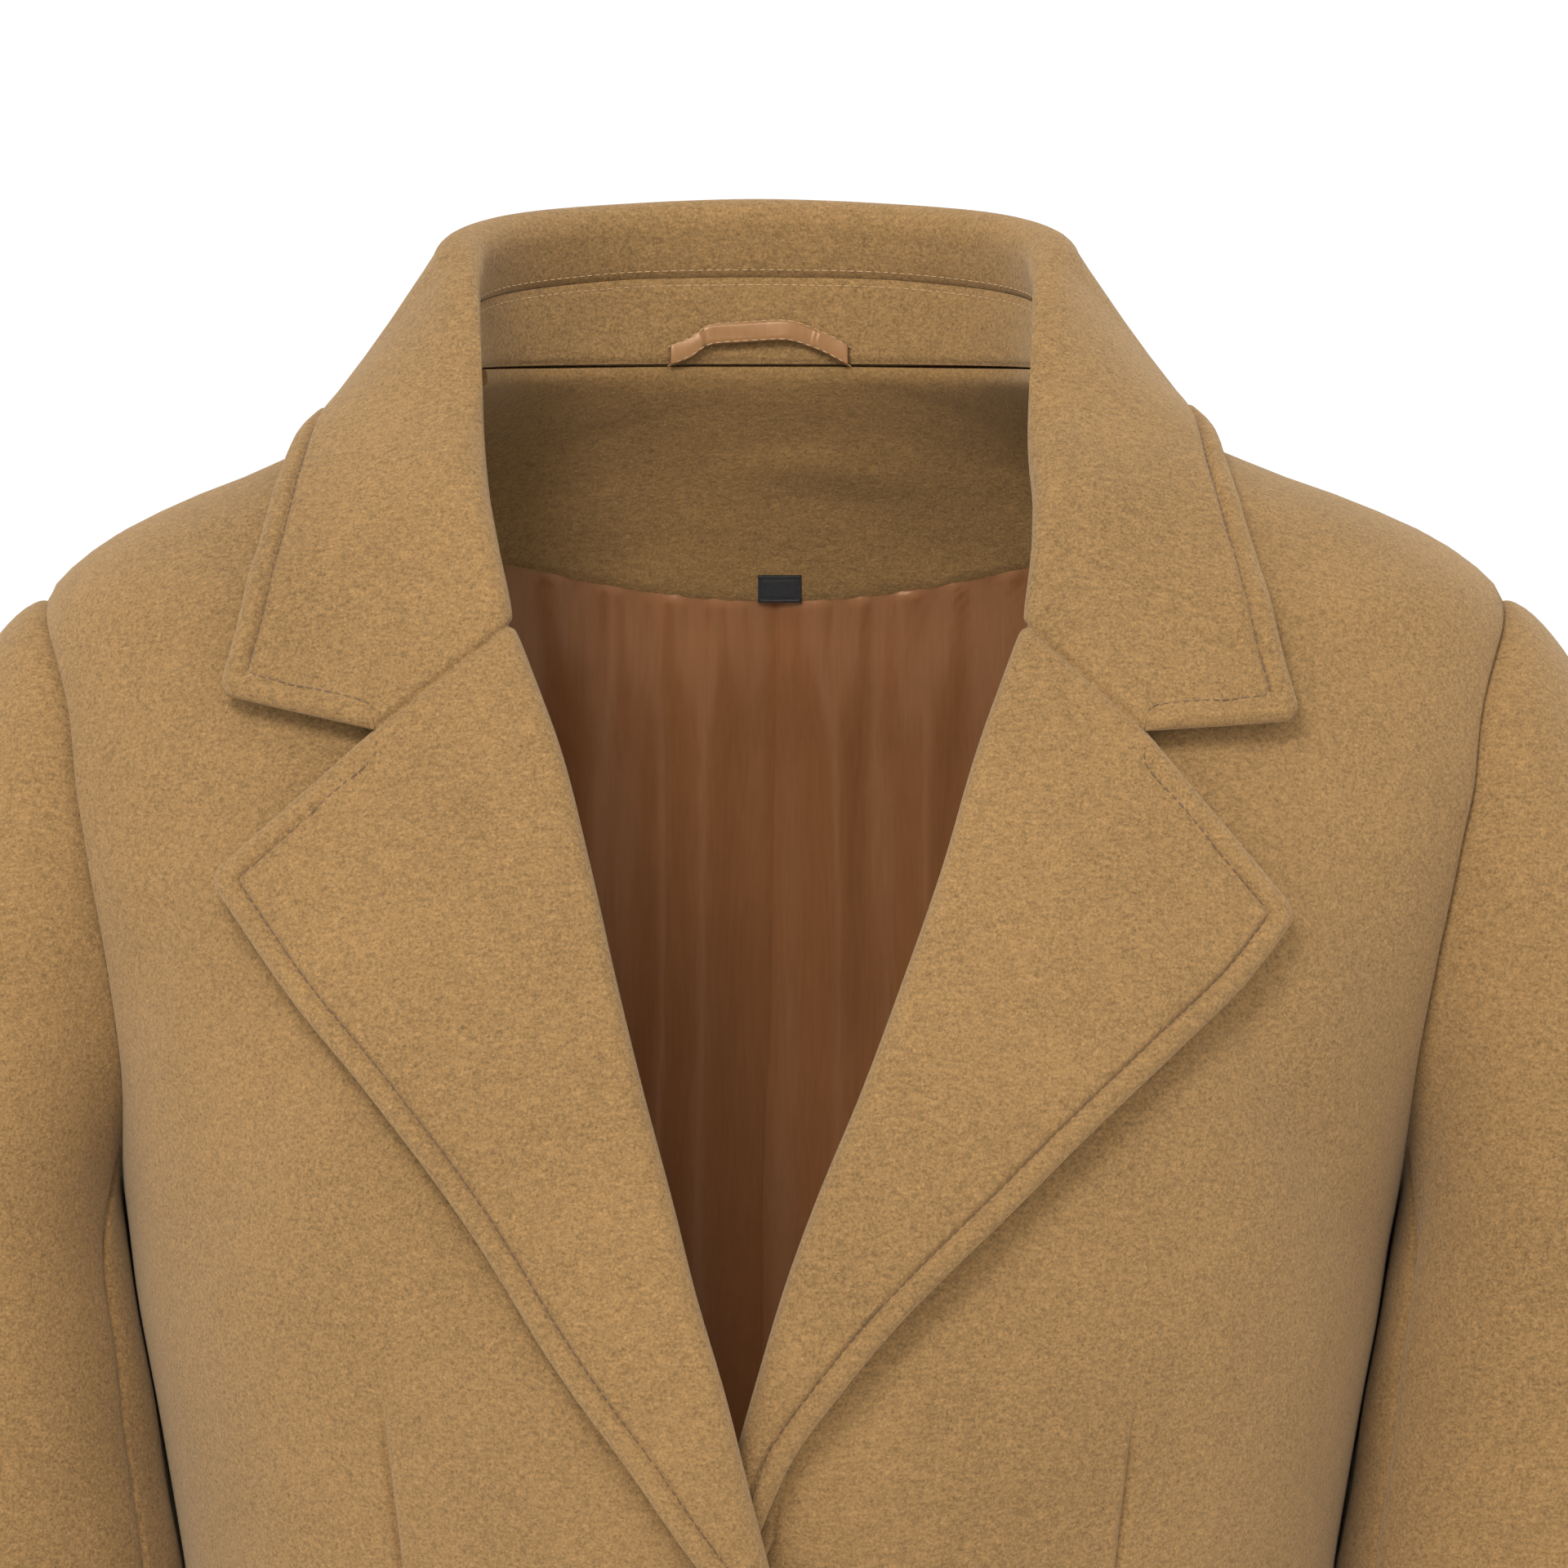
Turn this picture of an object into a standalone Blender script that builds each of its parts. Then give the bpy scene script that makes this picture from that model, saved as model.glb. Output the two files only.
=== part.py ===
"""Short wool coat with a wide notched collar, hollow, as it hangs when worn.

Metres. +X is the wearer's left, the front faces -Y and the origin is the middle of the back neck seam.
"Own side" distances run outwards from the centre line on either side of the body.
"""

import bpy
import numpy as np

# Driving sizes
COAT_LENGTH = 0.700
WOOL_WALL = 0.0025
DOUBLE_WALL = 0.0044  # two layers of wool turned out together
FACING_WALL = 0.0020
LINING_WALL = 0.0010
SEAM_GAP = 0.0003
TURNED_GAP = 0.0012  # at the seams of the turned double cloth
FACING_GAP = 0.0012  # between the shell and what lines it
SQUARENESS = 2.4  # of the body's horizontal sections: 2 is an ellipse

ARMHOLE_MIDDLE = -0.150
ARMHOLE_HALF_HEIGHT = 0.085
ARMHOLE_FRONT = 0.056  # reach in front of the shoulder line
ARMHOLE_BACK = 0.050
ARMHOLE_STEPS = 10  # from the underarm to the shoulder point

ROLL_RADIUS = 0.0045  # of the cloth's middle where a lapel turns over
FOOT_GAP = 0.0014  # between that cloth and the front, under the lapel
ROLL_TAIL = 0.0020  # of the turned cloth, flat, beside the front's edge
LAPEL_FOOT = 0.93  # of the turn's width, along a level line

FACING_DROP = 0.0695  # back neck facing, at the centre back
FACING_RISE = 0.0135  # of its lower edge, out to the side of the neck
FACING_SIDE = 0.078
LINING_HEM = -0.675
LINING_START = 0.012  # from the centre back, in columns of the back
LINING_INSET = 0.25  # from the back's armhole and side seam, in columns of the back
LINING_STAND_OFF = 0.0012  # of the lining below the facing
FACING_SEAM = 0.0010  # gap between the facing and the lining

LOOP_WIDTH = 0.0062
LOOP_WALL = 0.0012
LOOP_GAP = 0.0008  # from the stand at its ends
LOOP_COLUMNS = ("x", "z", "lean")
LOOP_PATH = (
    (-0.0300, 0.0036, 0.0),
    (-0.0235, 0.0060, 0.0008),
    (-0.0185, 0.0098, 0.0014),
    (-0.0075, 0.0106, 0.0018),
    (0.0035, 0.0112, 0.0018),
    (0.0120, 0.0088, 0.0010),
    (0.0225, 0.0036, 0.0),
)
LABEL_WIDTH = 0.0130
LABEL_HEIGHT = 0.0082
LABEL_WALL = 0.0008
BUTTON_RADIUS = 0.0125
BUTTON_HEIGHT = 0.0045
BUTTON_HEIGHTS = {"button_upper": -0.418, "button_lower": -0.520}

# The body's horizontal sections. Above the underarm the side of a section lies inside the armhole.
BODY_COLUMNS = ("z", "half_width", "seam_y", "front_depth", "back_depth", "sway")
BODY_TABLE = (
    (0.000, 0.0835, -0.065, 0.045, 0.065, -0.0040),
    (-0.010, 0.1030, -0.065, 0.049, 0.070, -0.0035),
    (-0.0215, 0.1300, -0.065, 0.054, 0.076, -0.0030),
    (-0.030, 0.1500, -0.065, 0.058, 0.080, -0.0020),
    (-0.0375, 0.1700, -0.065, 0.062, 0.083, -0.0010),
    (-0.050, 0.1945, -0.065, 0.070, 0.087, 0.0005),
    (-0.0625, 0.2080, -0.066, 0.080, 0.091, 0.0010),
    (-0.075, 0.2130, -0.066, 0.086, 0.093, 0.0010),
    (-0.090, 0.2145, -0.067, 0.093, 0.096, 0.0010),
    (-0.112, 0.2160, -0.067, 0.103, 0.100, 0.0010),
    (-0.132, 0.2120, -0.068, 0.112, 0.103, 0.0005),
    (-0.164, 0.2010, -0.068, 0.126, 0.105, 0.0000),
    (-0.200, 0.1895, -0.069, 0.137, 0.107, -0.0010),
    (-0.235, 0.1830, -0.071, 0.141, 0.107, -0.0030),
    (-0.265, 0.1785, -0.073, 0.140, 0.105, -0.0035),
    (-0.294, 0.1730, -0.075, 0.136, 0.102, -0.0035),
    (-0.323, 0.1680, -0.077, 0.129, 0.099, -0.0035),
    (-0.345, 0.1645, -0.079, 0.121, 0.098, -0.0035),
    (-0.380, 0.1605, -0.080, 0.112, 0.098, -0.0035),
    (-0.420, 0.1610, -0.082, 0.109, 0.101, -0.0035),
    (-0.460, 0.1655, -0.082, 0.110, 0.106, -0.0030),
    (-0.520, 0.1745, -0.083, 0.114, 0.113, -0.0025),
    (-0.600, 0.1860, -0.084, 0.119, 0.119, -0.0020),
    (-0.700, 0.1950, -0.085, 0.122, 0.123, -0.0020),
)

# Fold line of each lapel, then the free edge of the front: distances across from the centre line.
ROLL_COLUMNS = ("z", "right", "left")
ROLL_TABLE = (
    (-0.067, 0.0718, 0.0700),
    (-0.102, 0.0583, 0.0570),
    (-0.1325, 0.0501, 0.0475),
    (-0.163, 0.0428, 0.0363),
    (-0.192, 0.0354, 0.0250),
    (-0.2226, 0.0270, 0.0120),
    (-0.2449, 0.0214, 0.0038),
    (-0.2733, 0.0129, -0.0047),
    (-0.3014, 0.0059, -0.0122),
    (-0.3222, 0.0007, -0.0168),
    (-0.345, -0.0051, -0.0205),
    (-0.366, -0.0107, -0.0225),
    (-0.385, -0.0155, -0.0225),
)

# What the front panels reach above the lapels, along the neck, and below them, at the free edge.
NECKLINE_COLUMNS = ("z", "right", "left")
NECKLINE_TABLE = (
    (-0.0040, 0.0895, 0.0815),
    (-0.0180, 0.0893, 0.0808),
    (-0.0340, 0.0882, 0.0802),
    (-0.0500, 0.0860, 0.0797),
    (-0.0655, 0.0828, 0.0797),
)
EDGE_COLUMNS = ("z", "right", "left")
EDGE_TABLE = (
    (-0.3145, 0.0, -0.0050),
    (-0.320, 0.0, -0.0080),
    (-0.345, 0.0, -0.0215),
    (-0.385, -0.0045, -0.0225),
    (-0.3905, -0.0055, -0.0225),
    (-0.3925, -0.0190, -0.0225),
    (-0.410, -0.0213, -0.0225),
    (-0.440, -0.0225, -0.0225),
    (-0.700, -0.0225, -0.0225),
)
LAPEL_END = {"right": -0.385, "left": -0.312}

# The lapel's corners and outer edge. Share runs from the lapel's point to its lower end.
LAPEL_EDGE_COLUMNS = ("share", "right", "right_z", "left", "left_z")
LAPEL_EDGE_TABLE = (
    (0.00, 0.1563, -0.1375, 0.1458, -0.1471),
    (0.10, 0.1317, -0.1706, 0.1297, -0.1665),
    (0.20, 0.1112, -0.1938, 0.1120, -0.1825),
    (0.36, 0.0822, -0.2306, 0.0860, -0.2057),
    (0.49, 0.0607, -0.2637, 0.0655, -0.2253),
    (0.60, 0.0397, -0.2923, 0.0480, -0.2418),
    (0.70, 0.0269, -0.3113, 0.0335, -0.2566),
    (0.82, 0.0088, -0.3383, 0.0175, -0.2760),
    (0.91, -0.0005, -0.3600, 0.0060, -0.2925),
    (1.00, -0.0088, -0.3895, -0.0055, -0.3190),
)
GORGE_TOP = -0.067  # height at which the seam between collar and lapel turns over the fold
NOTCH = {"right": (0.1100, -0.0965), "left": (0.1035, -0.0967)}
COLLAR_POINT = {"right": (0.1541, -0.0876), "left": (0.1475, -0.0945)}

# Collar, from the centre back to the end of the gorge seam: own-side places of its roll and of its outer edge.
COLLAR_COLUMNS = ("share", "neck_z", "roll_x", "roll_y", "roll_z", "edge_x", "edge_y", "edge_z", "seam")
COLLAR_TABLE = (
    (0.00, 0.000, 0.0000, 0.0095, 0.0500, 0.0000, 0.0260, -0.0280, 0.52),
    (0.13, 0.000, 0.0310, 0.0050, 0.0485, 0.0420, 0.0225, -0.0280, 0.52),
    (0.26, 0.000, 0.0600, -0.0110, 0.0465, 0.0800, 0.0130, -0.0270, 0.50),
    (0.37, 0.000, 0.0775, -0.0310, 0.0432, 0.1090, -0.0080, -0.0235, 0.48),
    (0.46, 0.000, 0.0838, -0.0500, 0.0385, 0.1245, -0.0380, -0.0180, 0.46),
    (0.54, -0.004, 0.0830, -0.0680, 0.0275, 0.1275, -0.0650, -0.0165, 0.40),
    (0.62, -0.013, 0.0812, -0.0860, 0.0120, 0.1300, -0.0850, -0.0240, 0.12),
    (0.71, -0.024, 0.0795, -0.1050, -0.0080, 0.1340, -0.1040, -0.0355, 0.00),
    (0.80, -0.036, 0.0780, -0.1200, -0.0240, 0.1390, -0.1220, -0.0505, 0.00),
    (0.90, -0.051, 0.0750, -0.1360, -0.0450, 0.1445, -0.1390, -0.0690, 0.00),
    (1.00, -0.067, 0.0709, -0.1490, -0.0670, 0.1500, -0.1480, -0.0880, 0.00),
)
NECK_SHIFT = -0.0045  # the collar's middle, across
NECK_LIFT = 0.0010  # of the stand over the neck seam
FALL_CLEARANCE = 0.0036  # from the body's form to the middle of the fall
COLLAR_ROUNDER = 0.0015  # added to the radius of the collar's roll at the back
STAND_END = 0.60
COLLAR_STEPS = 16  # on each side

# How far the wearer's right front stands out over the left one, near the centre front.
LAP_COLUMNS = ("z", "lift")
LAP_TABLE = ((-0.200, 0.0), (-0.240, 0.0040), (-0.280, 0.0116), (-0.345, 0.0116), (-0.400, 0.0048), (-0.700, 0.0042))
FOLD_FADE = 0.030  # folds die out over this much beside a seam
LAP_FULL = 0.030  # own-side distance within which the lift is whole
LAP_NONE = 0.105
LAPEL_RISE_COLUMNS = ("z", "right", "left")
LAPEL_RISE_TABLE = (
    (-0.060, 0.0045, 0.0045),
    (-0.260, 0.0045, 0.0045),
    (-0.290, 0.0045, 0.0030),
    (-0.330, 0.0042, 0.0030),
    (-0.385, 0.0030, 0.0030),
)

# Waist darts of the fronts: place across, and how deep the seam draws the cloth in.
DART_COLUMNS = ("z", "across", "depth")
DART_TABLE = (
    (-0.235, 0.1060, 0.0),
    (-0.262, 0.1055, 0.0002),
    (-0.290, 0.1035, 0.0008),
    (-0.345, 0.0985, 0.0014),
    (-0.395, 0.0970, 0.0016),
    (-0.430, 0.0975, 0.0014),
    (-0.480, 0.0990, 0.0006),
    (-0.540, 0.1010, 0.0),
)
DART_COLUMN = 4

FRONT_ROWS_ABOVE = (-0.004, -0.018, -0.034, -0.050)
ROWS_BELOW = (
    *(-0.262, -0.290, -0.320, -0.345, -0.366, -0.385, -0.3905),
    *(-0.3925, -0.410, -0.440, -0.480, -0.540, -0.610, -0.655),
)
FRONT_COLUMNS = 11
BACK_COLUMNS = 17

# Sleeve rings, own side. Inner is next to the body.
SLEEVE_COLUMNS = ("z", "inner", "outer", "middle_y", "half_depth")
SLEEVE_TABLE = (
    (-0.262, 0.1735, 0.2840, -0.074, 0.0700),
    (-0.300, 0.1665, 0.2880, -0.078, 0.0670),
    (-0.340, 0.1620, 0.2905, -0.082, 0.0625),
    (-0.380, 0.1710, 0.2930, -0.085, 0.0595),
    (-0.430, 0.1830, 0.2970, -0.091, 0.0575),
    (-0.480, 0.1950, 0.3015, -0.097, 0.0555),
    (-0.530, 0.2060, 0.3060, -0.104, 0.0530),
    (-0.580, 0.2160, 0.3105, -0.112, 0.0510),
    (-0.625, 0.2240, 0.3140, -0.119, 0.0490),
)
CAP_SHARES = (0.0, 0.06, 0.14, 0.25, 0.39, 0.56, 0.77)
SLEEVE_CLEARANCE = 0.0020  # from the body, where the sleeve rests on it
CAP_START = 0.016  # how far the sleeve head stands straight out from its seam
CAP_LEAN = 0.58  # of the cap's height, how long it keeps the arm's own line
FOREARM_SEAM = 2  # columns from the underarm, towards the front
HIND_SEAM = 3  # and towards the back

# Soft folds of the hanging cloth: place, reach along and across the fold, tilt from upright in degrees,
# depth (below zero a ridge). Face is -1 in front and 1 behind; x runs to the wearer's left.
FOLD_COLUMNS = ("face", "x", "z", "along", "across", "tilt", "depth")
BODY_FOLDS = (
    (-1, -0.150, -0.215, 0.050, 0.012, 30, 0.0030),
    (-1, 0.150, -0.205, 0.055, 0.012, -28, 0.0028),
    (-1, -0.120, -0.590, 0.090, 0.026, 6, 0.0050),
    (-1, 0.105, -0.600, 0.085, 0.024, -5, 0.0048),
    (1, -0.130, -0.200, 0.060, 0.014, -24, 0.0034),
    (1, 0.132, -0.190, 0.055, 0.013, 26, 0.0032),
    (1, -0.060, -0.350, 0.070, 0.018, 12, 0.0030),
    (1, 0.045, -0.375, 0.060, 0.016, -14, 0.0026),
    (1, -0.095, -0.610, 0.080, 0.026, 5, 0.0050),
    (1, 0.000, -0.620, 0.085, 0.024, 0, -0.0040),
    (1, 0.098, -0.605, 0.078, 0.025, -6, 0.0052),
)
SLEEVE_FOLD_COLUMNS = ("angle", "z", "along", "across", "tilt", "depth")
SLEEVE_FOLDS = (
    (100, -0.235, 0.050, 0.013, 25, 0.0040),
    (62, -0.345, 0.045, 0.011, 55, 0.0034),
    (75, -0.395, 0.040, 0.010, 60, 0.0036),
    (110, -0.470, 0.060, 0.013, 20, 0.0028),
    (250, -0.250, 0.055, 0.014, -25, 0.0040),
    (285, -0.380, 0.050, 0.012, -50, 0.0036),
    (262, -0.440, 0.045, 0.011, -55, 0.0030),
    (240, -0.540, 0.055, 0.013, -20, 0.0026),
)

# Gathers of the lining: where each trough runs across one half, how wide, how deep at the seam and below.
GATHER_COLUMNS = ("across", "width", "top_depth", "low_depth")
GATHERS = {
    "right": (
        (0.006, 0.0050, 0.0010, 0.0012),
        (0.024, 0.0060, 0.0030, 0.0058),
        (0.040, 0.0055, 0.0024, 0.0050),
        (0.058, 0.0070, 0.0026, 0.0064),
        (0.080, 0.0075, 0.0018, 0.0050),
        (0.112, 0.0100, 0.0010, 0.0055),
        (0.145, 0.0110, 0.0006, 0.0045),
    ),
    "left": (
        (0.006, 0.0050, 0.0010, 0.0012),
        (0.019, 0.0050, 0.0030, 0.0052),
        (0.032, 0.0050, 0.0032, 0.0044),
        (0.046, 0.0055, 0.0028, 0.0060),
        (0.062, 0.0060, 0.0024, 0.0054),
        (0.084, 0.0080, 0.0016, 0.0056),
        (0.125, 0.0110, 0.0008, 0.0050),
    ),
}
LINING_COLUMNS = 26
LINING_ROWS = (-0.066, -0.080, -0.105, -0.145, -0.195, -0.245, -0.290, -0.335, -0.380, -0.430, -0.500, -0.590, -0.675)
FACING_ROWS = (-0.0004, -0.018, -0.034)  # below them come two that follow its lower edge

SIDES = {"right": -1, "left": 1}

MATERIALS = {
    "wool": ((0.44, 0.27, 0.12), 0.92),
    "facing": ((0.33, 0.20, 0.09), 0.92),
    "satin": ((0.42, 0.21, 0.11), 0.35),
    "label": ((0.012, 0.013, 0.018), 0.60),
    "horn": ((0.16, 0.085, 0.035), 0.35),
}


def hermite(keys, values, at):
    """Smooth curve through the rows that never overshoots them, level past both ends."""
    slopes = np.diff(values) / np.diff(keys)
    tangents = np.concatenate([slopes[:1], np.zeros(len(keys) - 2), slopes[-1:]])
    for i in range(1, len(keys) - 1):
        before, after = slopes[i - 1], slopes[i]
        if before * after > 0:
            tangents[i] = 2 * before * after / (before + after)
    at = np.clip(at, keys[0], keys[-1])
    i = np.clip(np.searchsorted(keys, at) - 1, 0, len(keys) - 2)
    width = keys[i + 1] - keys[i]
    t = (at - keys[i]) / width
    rise = values[i] * (1 + 2 * t) * (1 - t) ** 2 + values[i + 1] * t**2 * (3 - 2 * t)
    return rise + width * (tangents[i] * t * (1 - t) ** 2 - tangents[i + 1] * t**2 * (1 - t))


def track(table, columns, name):
    """One column of a table as a smooth function of its first column."""
    rows = sorted(table)
    keys = np.array([row[0] for row in rows])
    values = np.array([row[columns.index(name)] for row in rows], float)
    return lambda at: hermite(keys, values, np.asarray(at, float))


def tracks(table, columns):
    return {name: track(table, columns, name) for name in columns[1:]}


BODY = tracks(BODY_TABLE, BODY_COLUMNS)
ROLL = tracks(ROLL_TABLE, ROLL_COLUMNS)
NECKLINE = tracks(NECKLINE_TABLE, NECKLINE_COLUMNS)
LAPEL_EDGE = tracks(LAPEL_EDGE_TABLE, LAPEL_EDGE_COLUMNS)
COLLAR = tracks(COLLAR_TABLE, COLLAR_COLUMNS)
LAP = tracks(LAP_TABLE, LAP_COLUMNS)["lift"]
LAPEL_RISE = tracks(LAPEL_RISE_TABLE, LAPEL_RISE_COLUMNS)
DART = tracks(DART_TABLE, DART_COLUMNS)
SLEEVE = tracks(SLEEVE_TABLE, SLEEVE_COLUMNS)


def smoothstep(low, high, value):
    t = np.clip((value - low) / (high - low), 0.0, 1.0)
    return t * t * (3 - 2 * t)


def unit(vectors):
    return vectors / np.linalg.norm(vectors, axis=-1, keepdims=True)


def stack(x, y, z):
    return np.stack(np.broadcast_arrays(x, y, z), axis=-1).astype(float)


# The body's form


def body_point(angle, z):
    """Own-side point of the body at an angle in radians: 0 is the side, a quarter turn the centre front."""
    across, ahead = np.cos(angle), np.sin(angle)
    depth = np.where(ahead > 0, BODY["front_depth"](z), BODY["back_depth"](z))
    x = BODY["half_width"](z) * np.sign(across) * np.abs(across) ** (2 / SQUARENESS)
    y = BODY["seam_y"](z) - np.sign(ahead) * depth * np.abs(ahead) ** (2 / SQUARENESS)
    return stack(x, y, z)


def front_angle(x, z):
    ratio = np.clip(np.asarray(x) / BODY["half_width"](z), -1, 1)
    return np.arccos(np.sign(ratio) * np.abs(ratio) ** (SQUARENESS / 2))


def front_y(x, z):
    ratio = np.clip(np.abs(np.asarray(x)) / BODY["half_width"](z), 0, 1)
    return BODY["seam_y"](z) - BODY["front_depth"](z) * (1 - ratio**SQUARENESS) ** (1 / SQUARENESS)


def body_normal(angle, z):
    """Outward direction, own side."""
    step = 1e-3
    along = body_point(angle + step, z) - body_point(angle - step, z)
    up = body_point(angle, z + step) - body_point(angle, z - step)
    return unit(np.cross(up, along))


def armhole(turn):
    """(angle, z) on the armhole seam. Turn 0 is the underarm, a half turn the shoulder point, by way of the front."""
    z = ARMHOLE_MIDDLE - ARMHOLE_HALF_HEIGHT * np.cos(turn)
    ahead = np.sin(turn)
    reach = np.where(ahead > 0, ARMHOLE_FRONT, ARMHOLE_BACK) * np.abs(ahead)
    depth = np.where(ahead > 0, BODY["front_depth"](z), BODY["back_depth"](z))
    return np.sign(ahead) * np.arcsin((reach / depth) ** (SQUARENESS / 2)), z


def armhole_turn(z):
    """Turn on the seam's front half at a height, or None outside the armhole."""
    share = (ARMHOLE_MIDDLE - z) / ARMHOLE_HALF_HEIGHT
    return np.arccos(share) if abs(share) < 1 - 1e-9 else None


def armhole_rows():
    turns = np.linspace(np.pi, 0, ARMHOLE_STEPS + 1)
    return [float(ARMHOLE_MIDDLE - ARMHOLE_HALF_HEIGHT * np.cos(turn)) for turn in turns]


def outer_angle(z, face):
    """Where a panel ends at its shoulder seam, armhole or side seam. Face is 1 for a front, -1 for the back."""
    turn = armhole_turn(z)
    return 0.0 if turn is None else float(armhole(face * turn)[0])


def place(points, side):
    """Own-side points to real ones: the side's sign and the body's small sway."""
    placed = points.copy()
    placed[..., 0] = side * points[..., 0] + BODY["sway"](points[..., 2])
    return placed


def lap_lift(side, x, z):
    """The wearer's right front lies over the left one, so it stands further out near the centre."""
    if side > 0:
        return 0.0 * x
    return LAP(z) * (1 - smoothstep(LAP_FULL, LAP_NONE, x))


def body_gap(point):
    """Distance of an own-side point from the body's form, below zero inside it, and the direction away from it."""

    def level(p):
        seam, wide = float(BODY["seam_y"](p[2])), float(BODY["half_width"](p[2]))
        depth = float(BODY["front_depth" if p[1] < seam else "back_depth"](p[2]))
        return (abs(p[0]) / wide) ** SQUARENESS + (abs(p[1] - seam) / depth) ** SQUARENESS - 1

    step = 1e-4
    slope = np.array([(level(point + d) - level(point - d)) / (2 * step) for d in np.eye(3) * step])
    size = np.linalg.norm(slope)
    return level(point) / size, slope / size


def clear_of_body(point, clearance, settle=False):
    """The own-side point moved out to this clearance from the body, or with settle in to it too."""
    for _ in range(10):
        gap, away = body_gap(point)
        if gap > clearance - 1e-5 and not settle:
            break
        point = point + away * np.clip(clearance - gap, -0.004, 0.004)
    return point


def real_clear_of_body(point, side, settle=False):
    """The same for the collar's fall, at a real point."""
    own = np.array([side * (point[0] - float(BODY["sway"](point[2]))), point[1], point[2]])
    return place(clear_of_body(own, FALL_CLEARANCE, settle), side)


# Making solids


def normals_of(grid):
    """Unit normals of a grid of points, turned by the grid's own order of rows and columns."""
    return unit(np.cross(np.gradient(grid, axis=1), np.gradient(grid, axis=0)))


def outward(grid, normals, middle):
    away = np.sum(normals * (grid - np.asarray(middle)))
    return normals if away > 0 else -normals


def trimmed(grid, sides, gap=SEAM_GAP):
    """The grid with the named edges (top, bottom, left, right) drawn in by half a gap."""
    grid = grid.copy()
    for name, edge, beside in (("t", np.s_[0], np.s_[1]), ("b", np.s_[-1], np.s_[-2])):
        if name in sides:
            grid[edge] += unit(grid[beside] - grid[edge]) * gap / 2
    for name, edge, beside in (("l", np.s_[:, 0], np.s_[:, 1]), ("r", np.s_[:, -1], np.s_[:, -2])):
        if name in sides:
            grid[edge] += unit(grid[beside] - grid[edge]) * gap / 2
    return grid


def make_material(name):
    colour, roughness = MATERIALS[name]
    material = bpy.data.materials.new(name)
    material.use_nodes = True
    shader = material.node_tree.nodes["Principled BSDF"]
    shader.inputs["Base Color"].default_value = (*colour, 1)
    shader.inputs["Roughness"].default_value = roughness
    shader.inputs["Metallic"].default_value = 0.0
    return material


def make_object(name, points, faces, material):
    corners = np.asarray(points)
    volume = 0.0
    for face in faces:
        for i in range(1, len(face) - 1):
            a, b, c = corners[face[0]], corners[face[i]], corners[face[i + 1]]
            volume += np.dot(a, np.cross(b, c))
    if volume < 0:
        faces = [tuple(reversed(face)) for face in faces]
    mesh = bpy.data.meshes.new(name)
    mesh.from_pydata([tuple(point) for point in corners], [], faces)
    mesh.update()
    mesh.shade_smooth()
    mesh.set_sharp_from_angle(angle=np.radians(50))
    mesh.materials.append(make_material(material))
    piece = bpy.data.objects.new(name, mesh)
    bpy.context.scene.collection.objects.link(piece)
    return piece


def make_slab(name, outer, inner, material):
    """A closed wall between two grids of the same shape."""
    rows, cols = outer.shape[:2]
    count = rows * cols
    faces = []
    for r in range(rows - 1):
        for c in range(cols - 1):
            a = r * cols + c
            quad = (a, a + 1, a + cols + 1, a + cols)
            faces += [quad, tuple(count + i for i in reversed(quad))]
    rim = [c for c in range(cols)] + [r * cols + cols - 1 for r in range(1, rows)]
    rim += [(rows - 1) * cols + c for c in range(cols - 2, -1, -1)] + [r * cols for r in range(rows - 2, 0, -1)]
    for a, b in zip(rim, rim[1:] + rim[:1]):
        faces.append((b, a, count + a, count + b))
    points = np.concatenate([outer.reshape(-1, 3), inner.reshape(-1, 3)])
    return make_object(name, points, faces, material)


def make_wall(name, grid, thickness, material, seams=None):
    """A wall whose outer face is the grid. Seams gives the columns that share their direction with a neighbour."""
    normals = outward(grid, normals_of(grid), (0, -0.09, -0.3))
    for column, shared in (seams or {}).items():
        normals[:, column] = shared
    return make_slab(name, grid, grid - normals * thickness, material)


# Folds


def fold_depth(along_distance, across_distance, along, across, tilt, depth):
    turn = np.radians(tilt)
    lengthways = np.cos(turn) * along_distance + np.sin(turn) * across_distance
    sideways = -np.sin(turn) * along_distance + np.cos(turn) * across_distance
    return depth * np.exp(-((lengthways / along) ** 2) - (sideways / across) ** 2)


def body_folds(grid, face):
    """How far each real point of a panel sinks in, from all the folds on its face, and nothing at its outer seams."""
    depth = np.zeros(grid.shape[:2])
    for row_face, x, z, along, across, tilt, deep in BODY_FOLDS:
        if row_face == face:
            depth += fold_depth(grid[..., 2] - z, grid[..., 0] - x, along, across, tilt, deep)
    own = np.abs(grid[..., 0] - BODY["sway"](grid[..., 2]))
    ends = np.array([seam_reach(z, -face) for z in grid[:, -1, 2]])
    return depth * smoothstep(0.0, FOLD_FADE, ends[:, None] - own)


def seam_reach(z, face):
    """Own-side distance of a panel's outer seam at a height."""
    return float(body_point(outer_angle(z, face), z)[0])


# The shell


def run_angles(z, start, end, shares):
    """Angles at shares of the length of one section between two angles."""
    angles = np.linspace(start, end, 120)
    points = body_point(angles, z)
    steps = np.linalg.norm(np.diff(points, axis=0), axis=1)
    length = np.concatenate([[0], np.cumsum(steps)])
    return np.interp(shares * length[-1], length, angles)


def panel_rows():
    return list(FRONT_ROWS_ABOVE) + armhole_rows() + list(ROWS_BELOW) + [-COAT_LENGTH]


def turn_width(which, z):
    """From a fold line to the edge of the front behind it, along a level line."""
    return LAPEL_FOOT * (DOUBLE_WALL / 2 + LAPEL_RISE[which](z) + ROLL_TAIL) + FOOT_GAP


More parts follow.
